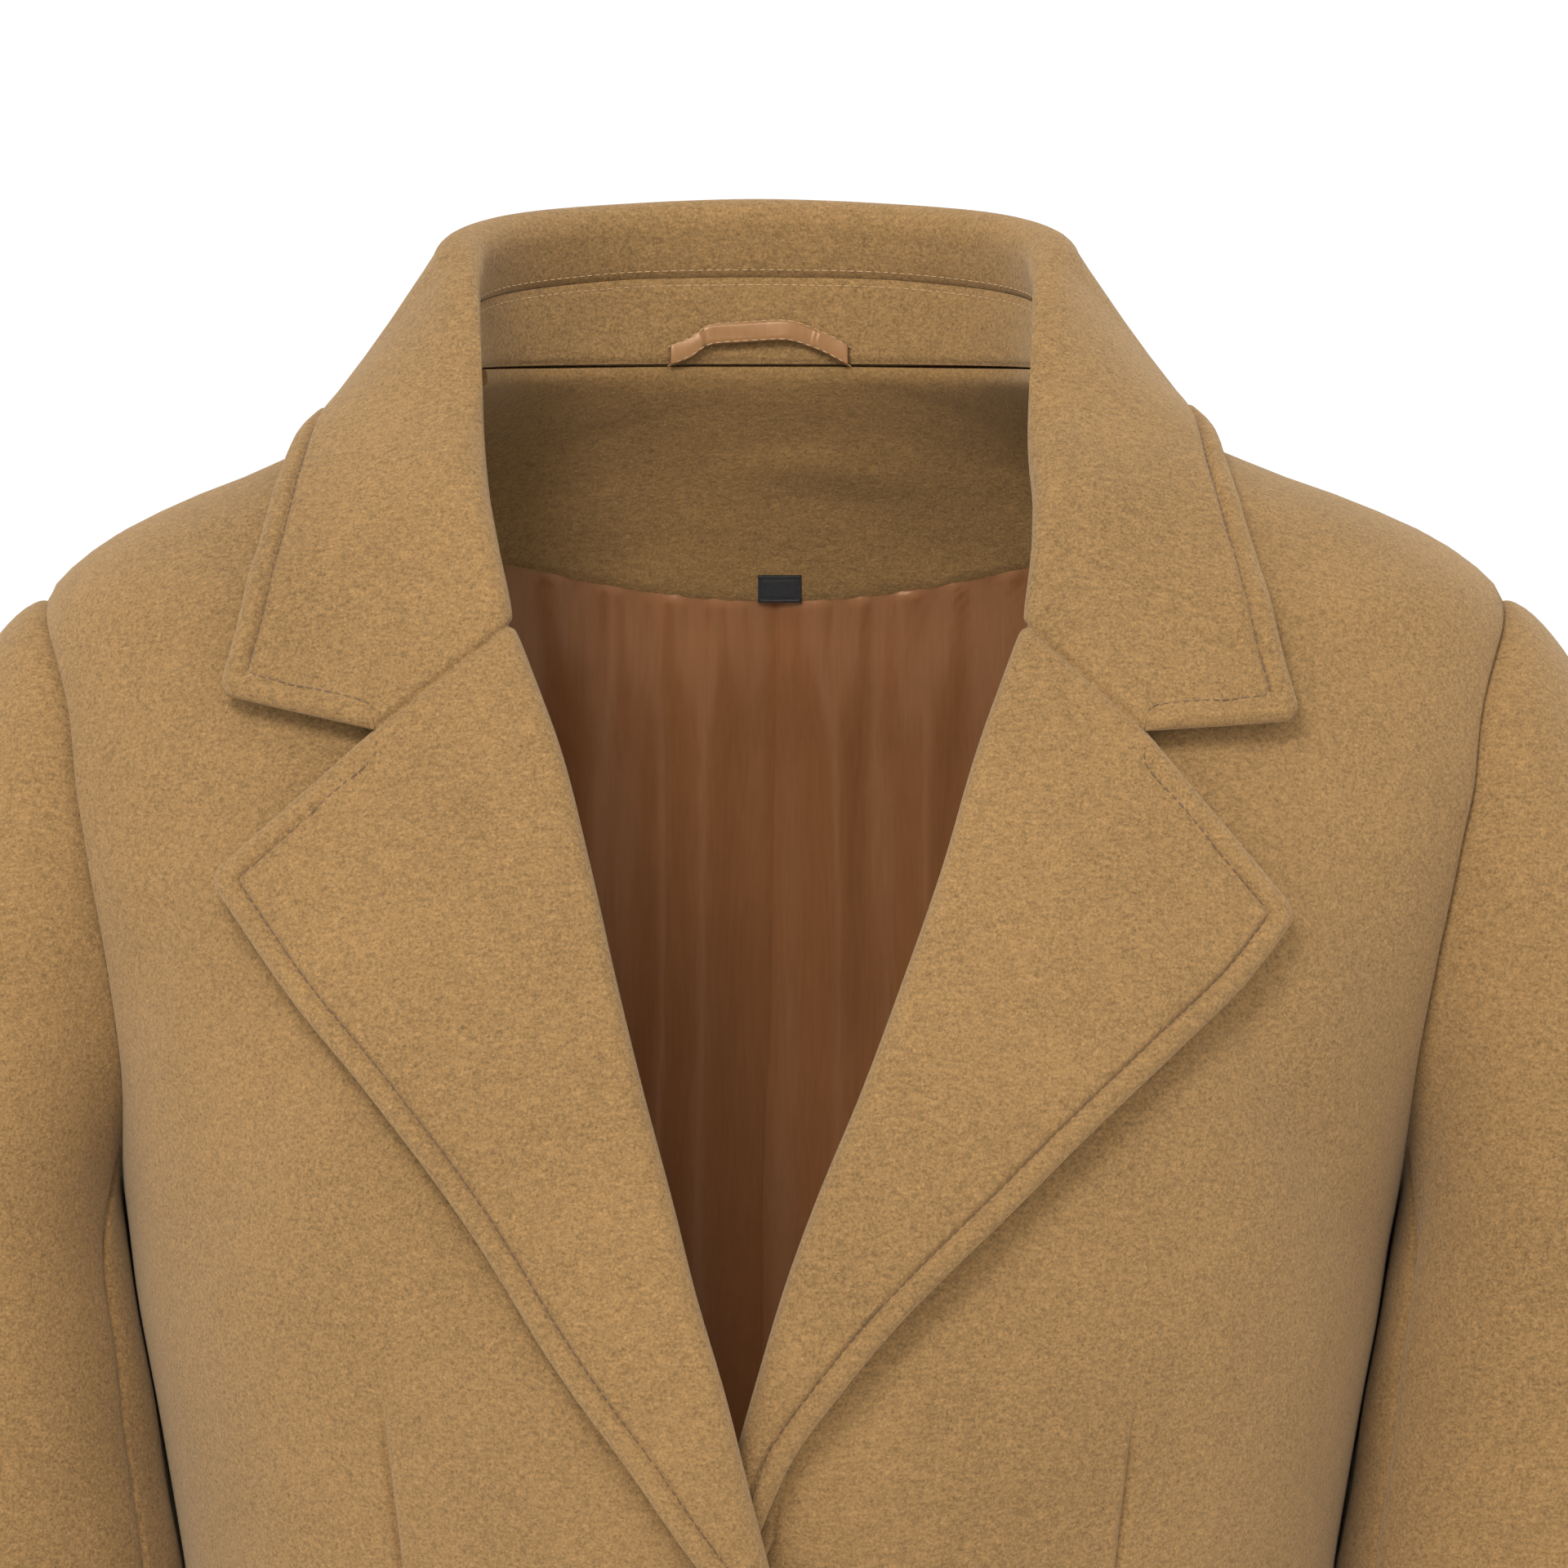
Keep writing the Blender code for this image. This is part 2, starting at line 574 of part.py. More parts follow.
def inner_edge(which, z):
    """Own-side distance of a front's inner edge: neckline, then the lapel's fold, then the free edge."""
    side = SIDES[which]
    if z > -0.067:
        return float(NECKLINE[which](z)) - side * float(BODY["sway"](z))
    if z > LAPEL_END[which] + 0.001:
        return float(ROLL[which](z) + turn_width(which, z) - side * BODY["sway"](z))
    edge = dict((row[0], row[EDGE_COLUMNS.index(which)]) for row in EDGE_TABLE)
    heights = np.array(sorted(edge))
    return float(np.interp(z, heights, [edge[height] for height in heights])) - side * float(BODY["sway"](z))


def front_grid(which):
    """Outer points of one front: a level row at each height, from the side inwards."""
    side = SIDES[which]
    rows = []
    for z in panel_rows():
        start, end = outer_angle(z, 1), float(front_angle(inner_edge(which, z), z))
        even = np.linspace(0, 1, FRONT_COLUMNS)
        angles = run_angles(z, start, end, even)
        # One column follows the dart.
        dart = float(front_angle(DART["across"](z), z))
        probe = run_angles(z, start, end, np.linspace(0, 1, 81))
        share = np.interp(dart, probe, np.linspace(0, 1, 81))
        share = even[DART_COLUMN] + (share - even[DART_COLUMN]) * smoothstep(-0.09, -0.20, z)
        shares = np.interp(even, [0, even[DART_COLUMN], 1], [0, share, 1])
        angles = run_angles(z, start, end, shares)
        rows.append(body_point(angles, z))
    grid = np.array(rows)
    z, x = grid[..., 2], grid[..., 0]
    grid[..., 1] -= lap_lift(side, x, z)
    grid = place(grid, side)
    normals = outward(grid, normals_of(grid), (0, -0.09, -0.3))
    sink = body_folds(grid, -1)
    sink[:, DART_COLUMN] += DART["depth"](grid[:, DART_COLUMN, 2])
    return grid - normals * sink[..., None]


def back_grid():
    """Outer points of the back, from the wearer's right to the left."""
    half = BACK_COLUMNS // 2
    rows = []
    for z in [0.0] + panel_rows()[1:]:
        angles = run_angles(z, outer_angle(z, -1), -np.pi / 2, np.linspace(0, 1, half + 1))
        left = body_point(angles, z)
        rows.append(np.concatenate([place(left, -1), place(left, 1)[-2::-1]]))
    grid = np.array(rows)
    normals = outward(grid, normals_of(grid), (0, -0.09, -0.3))
    return grid - normals * body_folds(grid, 1)[..., None]


def seam_normals(heights, face, side):
    """Direction out of the cloth along a panel's outer seam, the same for the panels on both sides of it."""
    normals = np.array([body_normal(outer_angle(z, face), z) for z in heights])
    return normals * (side, 1, 1)


def make_shell():
    heights = panel_rows()
    for which, side in SIDES.items():
        seams = {0: seam_normals(heights, 1, side)}
        make_wall(f"front_{which}", trimmed(front_grid(which), "tl"), WOOL_WALL, "wool", seams)
    heights = [-0.001] + heights[1:]
    seams = {0: seam_normals(heights, -1, -1), -1: seam_normals(heights, -1, 1)}
    make_wall("back", trimmed(back_grid(), "lr"), WOOL_WALL, "wool", seams)


# Lapels and collar


def roll_section(fold, away, ahead, radius, tail):
    """Middle of the cloth round a turn: the flat tail behind, then the half circle to the layer in front.

    Away points from the fold line into the cloth, and ahead from the layer behind to the one in front.
    """
    apex = fold + away * DOUBLE_WALL / 2
    points = []
    for degrees in (-90, -45, 0, 45, 90):
        turn = np.radians(degrees)
        points.append(apex + away * radius * (1 - np.cos(turn)) + ahead * radius * np.sin(turn))
    return [points[0] + tail] + points


def layer_y(side, x, z, rise):
    """Middle of cloth that lies in front of a front panel. The rise is half its distance from the panel's middle."""
    own = side * (x - BODY["sway"](z))
    return front_y(own, z) - lap_lift(side, own, z) + WOOL_WALL / 2 - 2 * rise


def gorge(which):
    """Top of the fold, notch and collar point in the front view, as real x and z."""
    side = SIDES[which]
    places = ((ROLL[which](GORGE_TOP), GORGE_TOP), NOTCH[which], COLLAR_POINT[which])
    return [np.array([side * float(x), z]) for x, z in places]


def front_turn(which, fold, aim):
    """The turn at a fold in the front view, as for a lapel: middle points, and its direction away."""
    side = SIDES[which]
    rise = float(LAPEL_RISE[which](fold[1]))
    flat = (aim - fold) / np.linalg.norm(aim - fold)
    away = np.array([flat[0], 0.0, flat[1]])
    behind = layer_y(side, fold[0] + flat[0] * rise, fold[1] + flat[1] * rise, 0.0)
    base = np.array([fold[0], behind - rise, fold[1]])
    return roll_section(base, away, np.array([0.0, -1.0, 0.0]), rise, away * ROLL_TAIL), flat


def lapel_row(which, fold, stops):
    """Middle of one row of a lapel: round its turn, then out over the front through the stops."""
    side = SIDES[which]
    turn, flat = front_turn(which, fold, stops[-1])
    rise = float(LAPEL_RISE[which](fold[1]))
    first = np.array([turn[-1][0], turn[-1][2]])
    row = list(turn)
    for x, z in lapel_stops(first, stops):
        row.append(np.array([x, float(layer_y(side, x, z, rise)), z]))
    return row


def lapel_stops(first, stops):
    """Six places from the end of the turn to the outer edge, in two halves where a row bends at the notch."""
    path = [first] + list(stops)
    if len(path) == 2:
        return [first + (path[1] - first) * share for share in (0.2, 0.4, 0.6, 0.8, 0.93, 1.0)]
    middle = [first + (path[1] - first) * share for share in (0.5, 1.0)]
    return middle + [path[1] + (path[2] - path[1]) * share for share in (0.25, 0.55, 0.87, 1.0)]


def lapel_grid(which):
    side = SIDES[which]
    notch = gorge(which)[1]
    rows = []
    for share in np.concatenate([[0, 0.035], np.linspace(0.1, 1, 12)]):
        z = GORGE_TOP + (LAPEL_END[which] - GORGE_TOP) * share
        start = np.array([side * float(ROLL[which](z)), z])
        end = np.array([side * float(LAPEL_EDGE[which](share)), float(LAPEL_EDGE[which + "_z"](share))])
        rows.append(lapel_row(which, start, [notch, end] if share == 0 else [end]))
    return np.array(rows)


def make_turned(name, middle, sides):
    """A double wall on both sides of its middle grid."""
    middle = trimmed(middle, sides, TURNED_GAP)
    half = normals_of(middle) * DOUBLE_WALL / 2
    return make_slab(name, middle + half, middle - half, "wool")


def table_point(name, share, side):
    """A place of the collar table on one side, as a real point."""
    x, y, z = [float(COLLAR[f"{name}_{axis}"](share)) for axis in "xyz"]
    return np.array([side * x + NECK_SHIFT, y, z])


def collar_edge(share, which):
    """Outer edge of the fall. It rests over the shoulders, and its last stretch runs to the collar's corner."""
    side = SIDES[which]
    corner = gorge(which)[2]
    rise = float(LAPEL_RISE[which](GORGE_TOP))
    flat_corner = np.array([corner[0], float(layer_y(side, corner[0], corner[1], rise)), corner[1]])
    if share >= 1:
        return flat_corner
    edge = real_clear_of_body(table_point("edge", share, side), side, settle=share > 0.40)
    last = real_clear_of_body(table_point("edge", 1.0, side), side, settle=True)
    return edge + (flat_corner - last) * float(smoothstep(0.60, 1.0, share))


def collar_row(share, which):
    """One section of the collar: inner seam, up to the roll, over it, and down the fall to the edge."""
    side = SIDES[which]
    fold, notch, _ = gorge(which)
    near = float(smoothstep(0.70, 1.0, share))
    lying = float(smoothstep(0.80, 1.0, share))
    neck, edge = neck_point(share, which), collar_edge(share, which)
    roll = table_point("roll", share, side)
    # The turn follows its two legs, and at the gorge seam the lapel's own turn.
    away = unit(unit(edge - roll) + unit(neck - roll))
    ahead = unit(edge - roll) - unit(neck - roll)
    turn, flat = front_turn(which, fold, notch)
    gorge_away = np.array([flat[0], 0.0, flat[1]])
    away = unit(away * (1 - near) + gorge_away * near)
    ahead = unit(ahead) * (1 - near) + np.array([0.0, -1.0, 0.0]) * near
    ahead = unit(ahead - away * np.dot(ahead, away))
    roll = roll + (turn[3] - gorge_away * DOUBLE_WALL / 2 - table_point("roll", 1.0, side)) * near
    radius = ROLL_RADIUS + COLLAR_ROUNDER * (1 - near)
    section = turn if share >= 1 else roll_section(roll, away, ahead, radius, away * ROLL_TAIL)
    row = collar_inside(share, neck, roll, section, near) + section[1:]
    rise = float(LAPEL_RISE[which](roll[2]))
    start = section[-1]
    bend = np.array([notch[0], float(layer_y(side, notch[0], notch[1], rise)), notch[1]])
    for reach in (0.22, 0.45, 0.72, 0.93, 1.0):
        straight = start + (edge - start) * reach
        first = start + (bend - start) * reach / 0.45
        bent = first if reach <= 0.45 else bend + (edge - bend) * (reach - 0.45) / 0.55
        point = straight * (1 - lying) + bent * lying
        if share < 1:
            point = real_clear_of_body(point, side)
        point[1] = point[1] * (1 - lying) + float(layer_y(side, point[0], point[2], rise)) * lying
        row.append(point)
    return row


def collar_inside(share, neck, roll, section, near):
    """The collar's first two points, inside the neck: its seam with the stand, and further on with the front."""
    seam = float(COLLAR["seam"](share))
    if share < STAND_END:
        start = neck + (roll - neck) * seam
    else:
        start = section[0] * near + (neck + (roll - neck) * seam + unit(roll - neck) * 0.001) * (1 - near)
    return [start, (start + section[1]) / 2]


def neck_point(share, which):
    """Middle of the double cloth on the neck seam."""
    side = SIDES[which]
    z = float(COLLAR["neck_z"](share))
    if share < 0.5:
        angle, z = -np.pi / 2 * (1 - share / 0.5), 0.0
    else:
        angle = float(front_angle(NECKLINE[which](z) - side * BODY["sway"](z), z)) if z < 0 else 0.0
    depth = WOOL_WALL / 2 + 0.0012 * (1 - float(smoothstep(0.5, 1.0, share)))
    point = body_point(angle, z) - body_normal(angle, min(z, -0.002)) * depth * np.array([1, 1, 0])
    point[2] += NECK_LIFT * (1 - float(smoothstep(0.5, 0.8, share)))
    return place(point, side)


def collar_shares():
    return np.linspace(0, 1, COLLAR_STEPS + 1)


def make_collar():
    right = [collar_row(share, "right") for share in collar_shares()[::-1]]
    left = [collar_row(share, "left") for share in collar_shares()[1:]]
    make_turned("collar", np.array(right + left), "tbl")


def make_stand():
    """The strip between the neck seam and the collar, inside the neck."""
    rows = []
    for which, order in (("right", -1), ("left", 1)):
        shares = [share for share in collar_shares() if share < STAND_END][::order]
        for share in shares if order < 0 else shares[1:]:
            neck, seam = neck_point(share, which), collar_row(share, which)[0]
            seam = seam - unit(seam - neck) * TURNED_GAP
            rows.append([neck, (neck + seam) / 2, seam])
    make_turned("collar_stand", np.array(rows), "r")


def make_lapels():
    for which in SIDES:
        make_turned(f"lapel_{which}", lapel_grid(which), "tl")


# Sleeves


def sleeve_ring(turn, z):
    middle = (SLEEVE["inner"](z) + SLEEVE["outer"](z)) / 2
    half = (SLEEVE["outer"](z) - SLEEVE["inner"](z)) / 2
    x = middle - half * np.cos(turn)
    y = SLEEVE["middle_y"](z) - SLEEVE["half_depth"](z) * np.sin(turn)
    return stack(x, y, z)


def sleeve_grid(side):
    """Outer points of a whole sleeve: rings from the armhole down, columns round from the underarm."""
    turns = np.linspace(0, 2 * np.pi, 2 * ARMHOLE_STEPS + 1)
    signed = np.where(turns > np.pi, turns - 2 * np.pi, turns)
    angle, z = armhole(signed)
    start = body_point(angle, z) + body_normal(angle, z) * 1.5 * SEAM_GAP
    top_z = SLEEVE_TABLE[0][0]
    end = sleeve_ring(turns, top_z)
    slope = unit(sleeve_ring(turns, top_z) - sleeve_ring(turns, top_z - 0.02))
    height = np.linalg.norm(end - start, axis=1, keepdims=True)
    up = ((1 - np.cos(turns)) / 2)[:, None]
    out = stack(0.15 + 0.85 * up[:, 0] ** 0.5, -0.5 * np.sin(turns), 0.05 * up[:, 0] - (1 - up[:, 0]) ** 2)
    first = start + unit(out) * (CAP_START * up + 0.12 * height * (1 - up))
    second = end + slope * height * (CAP_LEAN * up + 0.35 * (1 - up))
    rings = []
    for t in CAP_SHARES:
        ring = start * (1 - t) ** 3 + first * 3 * t * (1 - t) ** 2 + second * 3 * t**2 * (1 - t) + end * t**3
        rings.append(ring)
    rings += [sleeve_ring(turns, row[0]) for row in SLEEVE_TABLE]
    grid = np.array(rings)
    # The inside of the arm rests against the body.
    for ring, column in np.argwhere((grid[..., 0] < 0.20) & (grid[..., 2] < -0.16)):
        if ring > 0:
            clearance = SLEEVE_CLEARANCE * min(0.4 + 0.15 * ring, 1.0)
            grid[ring, column] = clear_of_body(grid[ring, column], clearance)
    around = np.degrees(turns)[None, :]
    sink = np.zeros(grid.shape[:2])
    for fold_angle, fold_z, along, across, tilt, deep in SLEEVE_FOLDS:
        sideways = (around - fold_angle) * np.pi / 180 * 0.06
        sink += fold_depth(grid[..., 2] - fold_z, sideways, along, across, tilt, deep)
    sink *= smoothstep(0, 4, np.arange(len(grid)))[:, None]
    grid = grid - sleeve_normals(grid) * sink[..., None]
    return place_sleeve(grid, side)


def place_sleeve(grid, side):
    """Own-side sleeve points to real ones. Below the armhole a sleeve keeps the body's sway at the underarm."""
    placed = grid.copy()
    heights = np.maximum(grid[..., 2], -0.345)
    placed[..., 0] = side * grid[..., 0] + BODY["sway"](heights)
    return placed


def sleeve_normals(grid):
    """Outward normals of a tube whose first and last columns are the same."""
    wide = np.concatenate([grid[:, -2:-1], grid, grid[:, 1:2]], axis=1)
    normals = unit(np.cross(np.gradient(wide, axis=1), np.gradient(wide, axis=0)))[:, 1:-1]
    middle = grid[:, :-1].mean(axis=1, keepdims=True)
    return outward(grid, normals, middle)


def make_sleeves():
    for which, side in SIDES.items():
        grid = sleeve_grid(side)
        inner = grid - sleeve_normals(grid) * WOOL_WALL
        last = 2 * ARMHOLE_STEPS
        pieces = {
            "top": list(range(FOREARM_SEAM, last - HIND_SEAM + 1)),
            "under": list(range(last - HIND_SEAM, last)) + list(range(0, FOREARM_SEAM + 1)),
        }
        for name, columns in pieces.items():
            make_slab(f"sleeve_{name}_{which}", trimmed(grid[:, columns], "lr"), trimmed(inner[:, columns], "lr"), "wool")


# Inside the back


def facing_edge(across):
    return -FACING_DROP + 1.5 * FACING_RISE * np.tanh((across / FACING_SIDE) ** 2 / 1.5)


def on_back(panel, column, z, inset):
    """Point of the back's own grid at a part of a column and a height, moved in from its outer face."""
    grid, normals = panel
    heights = -grid[:, BACK_COLUMNS // 2, 2]
    row = min(float(np.interp(-z, heights, np.arange(len(heights)))), len(heights) - 1.001)
    column = min(column, BACK_COLUMNS - 1.001)
    r, c = int(row), int(column)
    down, across = row - r, column - c

    def blend(values):
        top = values[r, c] * (1 - across) + values[r, c + 1] * across
        low = values[r + 1, c] * (1 - across) + values[r + 1, c + 1] * across
        return top * (1 - down) + low * down

    return blend(grid) - unit(blend(normals)) * inset


def back_panel():
    """The back's outer points and its directions out of the cloth."""
    grid = back_grid()
    return grid, outward(grid, normals_of(grid), (0, -0.09, -0.3))


def make_neck_facing():
    """Wool facing inside the back, from the neck seam down to the lining."""
    panel = back_panel()
    rows = []
    for level in range(len(FACING_ROWS) + 2):
        row = []
        for column in range(1, BACK_COLUMNS - 1):
            low = float(facing_edge(abs(on_back(panel, column, -0.055, 0.0)[0]))) + FACING_SEAM / 2
            rows_z = list(FACING_ROWS) + [(FACING_ROWS[-1] + low) / 2, low]
            row.append(on_back(panel, column, rows_z[level], WOOL_WALL + FACING_GAP))
        rows.append(row)
    make_wall("back_neck_facing", np.array(rows), FACING_WALL, "facing")


def gather_depth(which, across, drop):
    """How far the lining stands in from the back: troughs that start short at the seam and soften below."""
    depth = np.zeros_like(across)
    for middle, width, top, low in GATHERS[which]:
        amount = top + (low - top) * smoothstep(0.0, 0.09, drop) * (1 - 0.35 * smoothstep(0.2, 0.6, drop))
        spread = width * (1 + 0.9 * smoothstep(0.0, 0.5, drop))
        depth += amount * np.exp(-(((across - middle) / spread) ** 2))
    return depth


def lining_grid(which):
    """Outer points of one half of the lining: from the facing down, and from the centre back outwards."""
    side, half = SIDES[which], BACK_COLUMNS // 2
    panel = back_panel()
    rows = []
    for level in range(len(LINING_ROWS)):
        row = []
        for share in np.linspace(0, 1, LINING_COLUMNS) ** 1.25:
            column = half + side * (LINING_START + (half - LINING_START - LINING_INSET) * share)
            across = abs(on_back(panel, column, -0.055, 0.0)[0])
            top = float(facing_edge(across)) - FACING_SEAM / 2
            z = top + min(LINING_ROWS[level] - LINING_ROWS[0], 0) * (LINING_HEM - top) / (LINING_HEM - LINING_ROWS[0])
            across = abs(on_back(panel, column, z, 0.0)[0])
            depth = float(gather_depth(which, np.array(across), np.array(top - z)))
            inset = WOOL_WALL + FACING_GAP + depth + LINING_STAND_OFF * float(smoothstep(0, 0.03, top - z))
            row.append(on_back(panel, column, z, inset))
        rows.append(row)
    return np.array(rows)


def make_lining():
    for which in SIDES:
        make_wall(f"lining_{which}", trimmed(lining_grid(which), "l"), LINING_WALL, "satin")


def inner_back_y(x, z, inset):
    """Place along Y of a layer inside the back, at a real x."""
    own = abs(x - float(BODY["sway"](z)))
    ratio = min(own / float(BODY["half_width"](z)), 1)
    return float(BODY["seam_y"](z) + BODY["back_depth"](z) * (1 - ratio**SQUARENESS) ** (1 / SQUARENESS)) - inset


def make_hanger_loop():
    """Folded satin strip, sewn in at the neck seam, that stands up in a low arch before the stand."""
    rows = []
    for edge in (1, -1):
        row = []
        for x, z, lean in LOOP_PATH:
            across = abs(x - float(BODY["sway"](0.0))) / float(BODY["half_width"](0.0))
            share = np.arcsin(across ** (SQUARENESS / 2)) / np.pi
            neck, seam = neck_point(share, "left"), collar_row(share, "left")[0]
            up = z + edge * LOOP_WIDTH / 2
            y = neck[1] + (seam[1] - neck[1]) * (up - neck[2]) / (seam[2] - neck[2])
            row.append((x, y - DOUBLE_WALL / 2 - LOOP_WALL / 2 - LOOP_GAP - lean, up))
        rows.append(row)
    middle = np.array(rows)
    half = normals_of(middle) * LOOP_WALL / 2
    make_slab("hanger_loop", middle + half, middle - half, "satin")


def make_label():
    """Small woven label on the facing's lower edge."""
    centre, top = 0.0022, -0.0620
    rows = []
    for z in (top, top - LABEL_HEIGHT):
        row = []
        for x in (centre - LABEL_WIDTH / 2, centre, centre + LABEL_WIDTH / 2):
            row.append((x, inner_back_y(x, z, WOOL_WALL + FACING_GAP + FACING_WALL + LABEL_WALL / 2 + 2 * SEAM_GAP), z))
        rows.append(row)
    middle = np.array(rows)
    half = normals_of(middle) * LABEL_WALL / 2
    make_slab("neck_label", middle + half, middle - half, "label")


# Buttons


def make_buttons():
    """Plain dished buttons on the centre front of the wearer's right front."""
    profile = ((0.0, 0.70), (0.55, 0.70), (0.68, 1.0), (0.90, 0.95), (1.0, 0.45), (0.92, 0.0))
    sides = 20
    for name, z in BUTTON_HEIGHTS.items():
        points, faces = [], []
        lean = float(front_y(0, z + 0.01) - front_y(0, z - 0.01)) / 0.02
        back = float(front_y(0, z)) - float(lap_lift(-1, np.array(0.0), z)) - 2 * SEAM_GAP
        for radius, height in profile[1:]:
            for k in range(sides):
                turn = 2 * np.pi * k / sides
                up = radius * BUTTON_RADIUS * np.sin(turn)
                points.append((radius * BUTTON_RADIUS * np.cos(turn), back - height * BUTTON_HEIGHT + lean * up, z + up))
        rings = len(profile) - 1
        faces.append(tuple(range(sides)))
        faces.append(tuple(reversed(range((rings - 1) * sides, rings * sides))))
        for r in range(rings - 1):
            for k in range(sides):
                a, b = r * sides + k, r * sides + (k + 1) % sides
                faces.append((a, a + sides, b + sides, b))
        make_object(name, np.array(points), faces, "horn")


def main():
    for old in list(bpy.data.objects):
        bpy.data.objects.remove(old)
    make_shell()
    make_lapels()
    make_collar()
    make_stand()
    make_sleeves()
    make_neck_facing()
    make_lining()
    make_hanger_loop()
    make_label()
    make_buttons()


main()
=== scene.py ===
import bpy
import numpy as np
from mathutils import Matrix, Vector


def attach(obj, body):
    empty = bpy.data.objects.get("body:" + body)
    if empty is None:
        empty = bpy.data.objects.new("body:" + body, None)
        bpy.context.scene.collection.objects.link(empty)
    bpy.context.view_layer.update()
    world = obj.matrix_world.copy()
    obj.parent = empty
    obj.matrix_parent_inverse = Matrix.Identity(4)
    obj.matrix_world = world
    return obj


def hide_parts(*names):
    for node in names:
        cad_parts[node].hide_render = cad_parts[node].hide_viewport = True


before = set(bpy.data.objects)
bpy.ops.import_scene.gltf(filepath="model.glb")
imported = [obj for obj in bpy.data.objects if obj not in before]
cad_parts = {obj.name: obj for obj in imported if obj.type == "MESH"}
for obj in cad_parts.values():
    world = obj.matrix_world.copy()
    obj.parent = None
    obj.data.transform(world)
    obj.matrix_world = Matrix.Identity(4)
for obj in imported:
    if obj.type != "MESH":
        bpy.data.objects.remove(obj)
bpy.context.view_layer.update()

# A short wool coat, its cloth filled out as if worn. Real sizes in metres.
# Own-side x runs outward from the coat's middle. "Right" is the wearer's right, at negative x.
# The tables down to the sleeves' folds hold the forms that the solids have as well.
coatLength = 0.700
woolWall = 0.0025
doubleWall = 0.0044  # two layers of wool turned out together
facingWall = 0.0020
liningWall = 0.0010
seamGap = 0.0003
facingGap = 0.0012  # between the shell and what lines it
squareness = 2.4  # of the body's horizontal sections: 2 is an ellipse

armholeMiddle = -0.150
armholeHalfHeight = 0.085
armholeFront = 0.056  # reach in front of the shoulder line
armholeBack = 0.050

rollRadius = 0.0045  # of the cloth's middle where a lapel turns over
footGap = 0.0014  # between that cloth and the front, under the lapel
rollTail = 0.0020  # of the turned cloth, flat, beside the front's edge
lapelFoot = 0.93  # of the turn's width, along a level line

facingDrop = 0.0695  # back neck facing, at the centre back
facingRise = 0.0135  # of its lower edge, out to the side of the neck
facingSide = 0.078
liningHem = -0.675
liningStandOff = 0.0012  # of the lining below the facing

# columns: x, z, how far it leans off the stand
loopPath = (
    (-0.0300, 0.0036, 0.0),
    (-0.0235, 0.0060, 0.0008),
    (-0.0185, 0.0098, 0.0014),
    (-0.0075, 0.0106, 0.0018),
    (0.0035, 0.0112, 0.0018),
    (0.0120, 0.0088, 0.0010),
    (0.0225, 0.0036, 0.0),
)
buttonHeights = {"button_upper": -0.418, "button_lower": -0.520}

# The body's horizontal sections. Above the underarm the side of a section lies inside the armhole.
bodyColumns = ("z", "halfWidth", "seamY", "frontDepth", "backDepth", "sway")
bodyTable = (
    (0.000, 0.0835, -0.065, 0.045, 0.065, -0.0040),
    (-0.010, 0.1030, -0.065, 0.049, 0.070, -0.0035),
    (-0.0215, 0.1300, -0.065, 0.054, 0.076, -0.0030),
    (-0.030, 0.1500, -0.065, 0.058, 0.080, -0.0020),
    (-0.0375, 0.1700, -0.065, 0.062, 0.083, -0.0010),
    (-0.050, 0.1945, -0.065, 0.070, 0.087, 0.0005),
    (-0.0625, 0.2080, -0.066, 0.080, 0.091, 0.0010),
    (-0.075, 0.2130, -0.066, 0.086, 0.093, 0.0010),
    (-0.090, 0.2145, -0.067, 0.093, 0.096, 0.0010),
    (-0.112, 0.2160, -0.067, 0.103, 0.100, 0.0010),
    (-0.132, 0.2120, -0.068, 0.112, 0.103, 0.0005),
    (-0.164, 0.2010, -0.068, 0.126, 0.105, 0.0000),
    (-0.200, 0.1895, -0.069, 0.137, 0.107, -0.0010),
    (-0.235, 0.1830, -0.071, 0.141, 0.107, -0.0030),
    (-0.265, 0.1785, -0.073, 0.140, 0.105, -0.0035),
    (-0.294, 0.1730, -0.075, 0.136, 0.102, -0.0035),
    (-0.323, 0.1680, -0.077, 0.129, 0.099, -0.0035),
    (-0.345, 0.1645, -0.079, 0.121, 0.098, -0.0035),
    (-0.380, 0.1605, -0.080, 0.112, 0.098, -0.0035),
    (-0.420, 0.1610, -0.082, 0.109, 0.101, -0.0035),
    (-0.460, 0.1655, -0.082, 0.110, 0.106, -0.0030),
    (-0.520, 0.1745, -0.083, 0.114, 0.113, -0.0025),
    (-0.600, 0.1860, -0.084, 0.119, 0.119, -0.0020),
    (-0.700, 0.1950, -0.085, 0.122, 0.123, -0.0020),
)

# Fold line of each lapel, then the free edge of the front: distances across from the centre line.
rollColumns = ("z", "right", "left")
rollTable = (
    (-0.067, 0.0718, 0.0700),
    (-0.102, 0.0583, 0.0570),
    (-0.1325, 0.0501, 0.0475),
    (-0.163, 0.0428, 0.0363),
    (-0.192, 0.0354, 0.0250),
    (-0.2226, 0.0270, 0.0120),
    (-0.2449, 0.0214, 0.0038),
    (-0.2733, 0.0129, -0.0047),
    (-0.3014, 0.0059, -0.0122),
    (-0.3222, 0.0007, -0.0168),
    (-0.345, -0.0051, -0.0205),
    (-0.366, -0.0107, -0.0225),
    (-0.385, -0.0155, -0.0225),
)

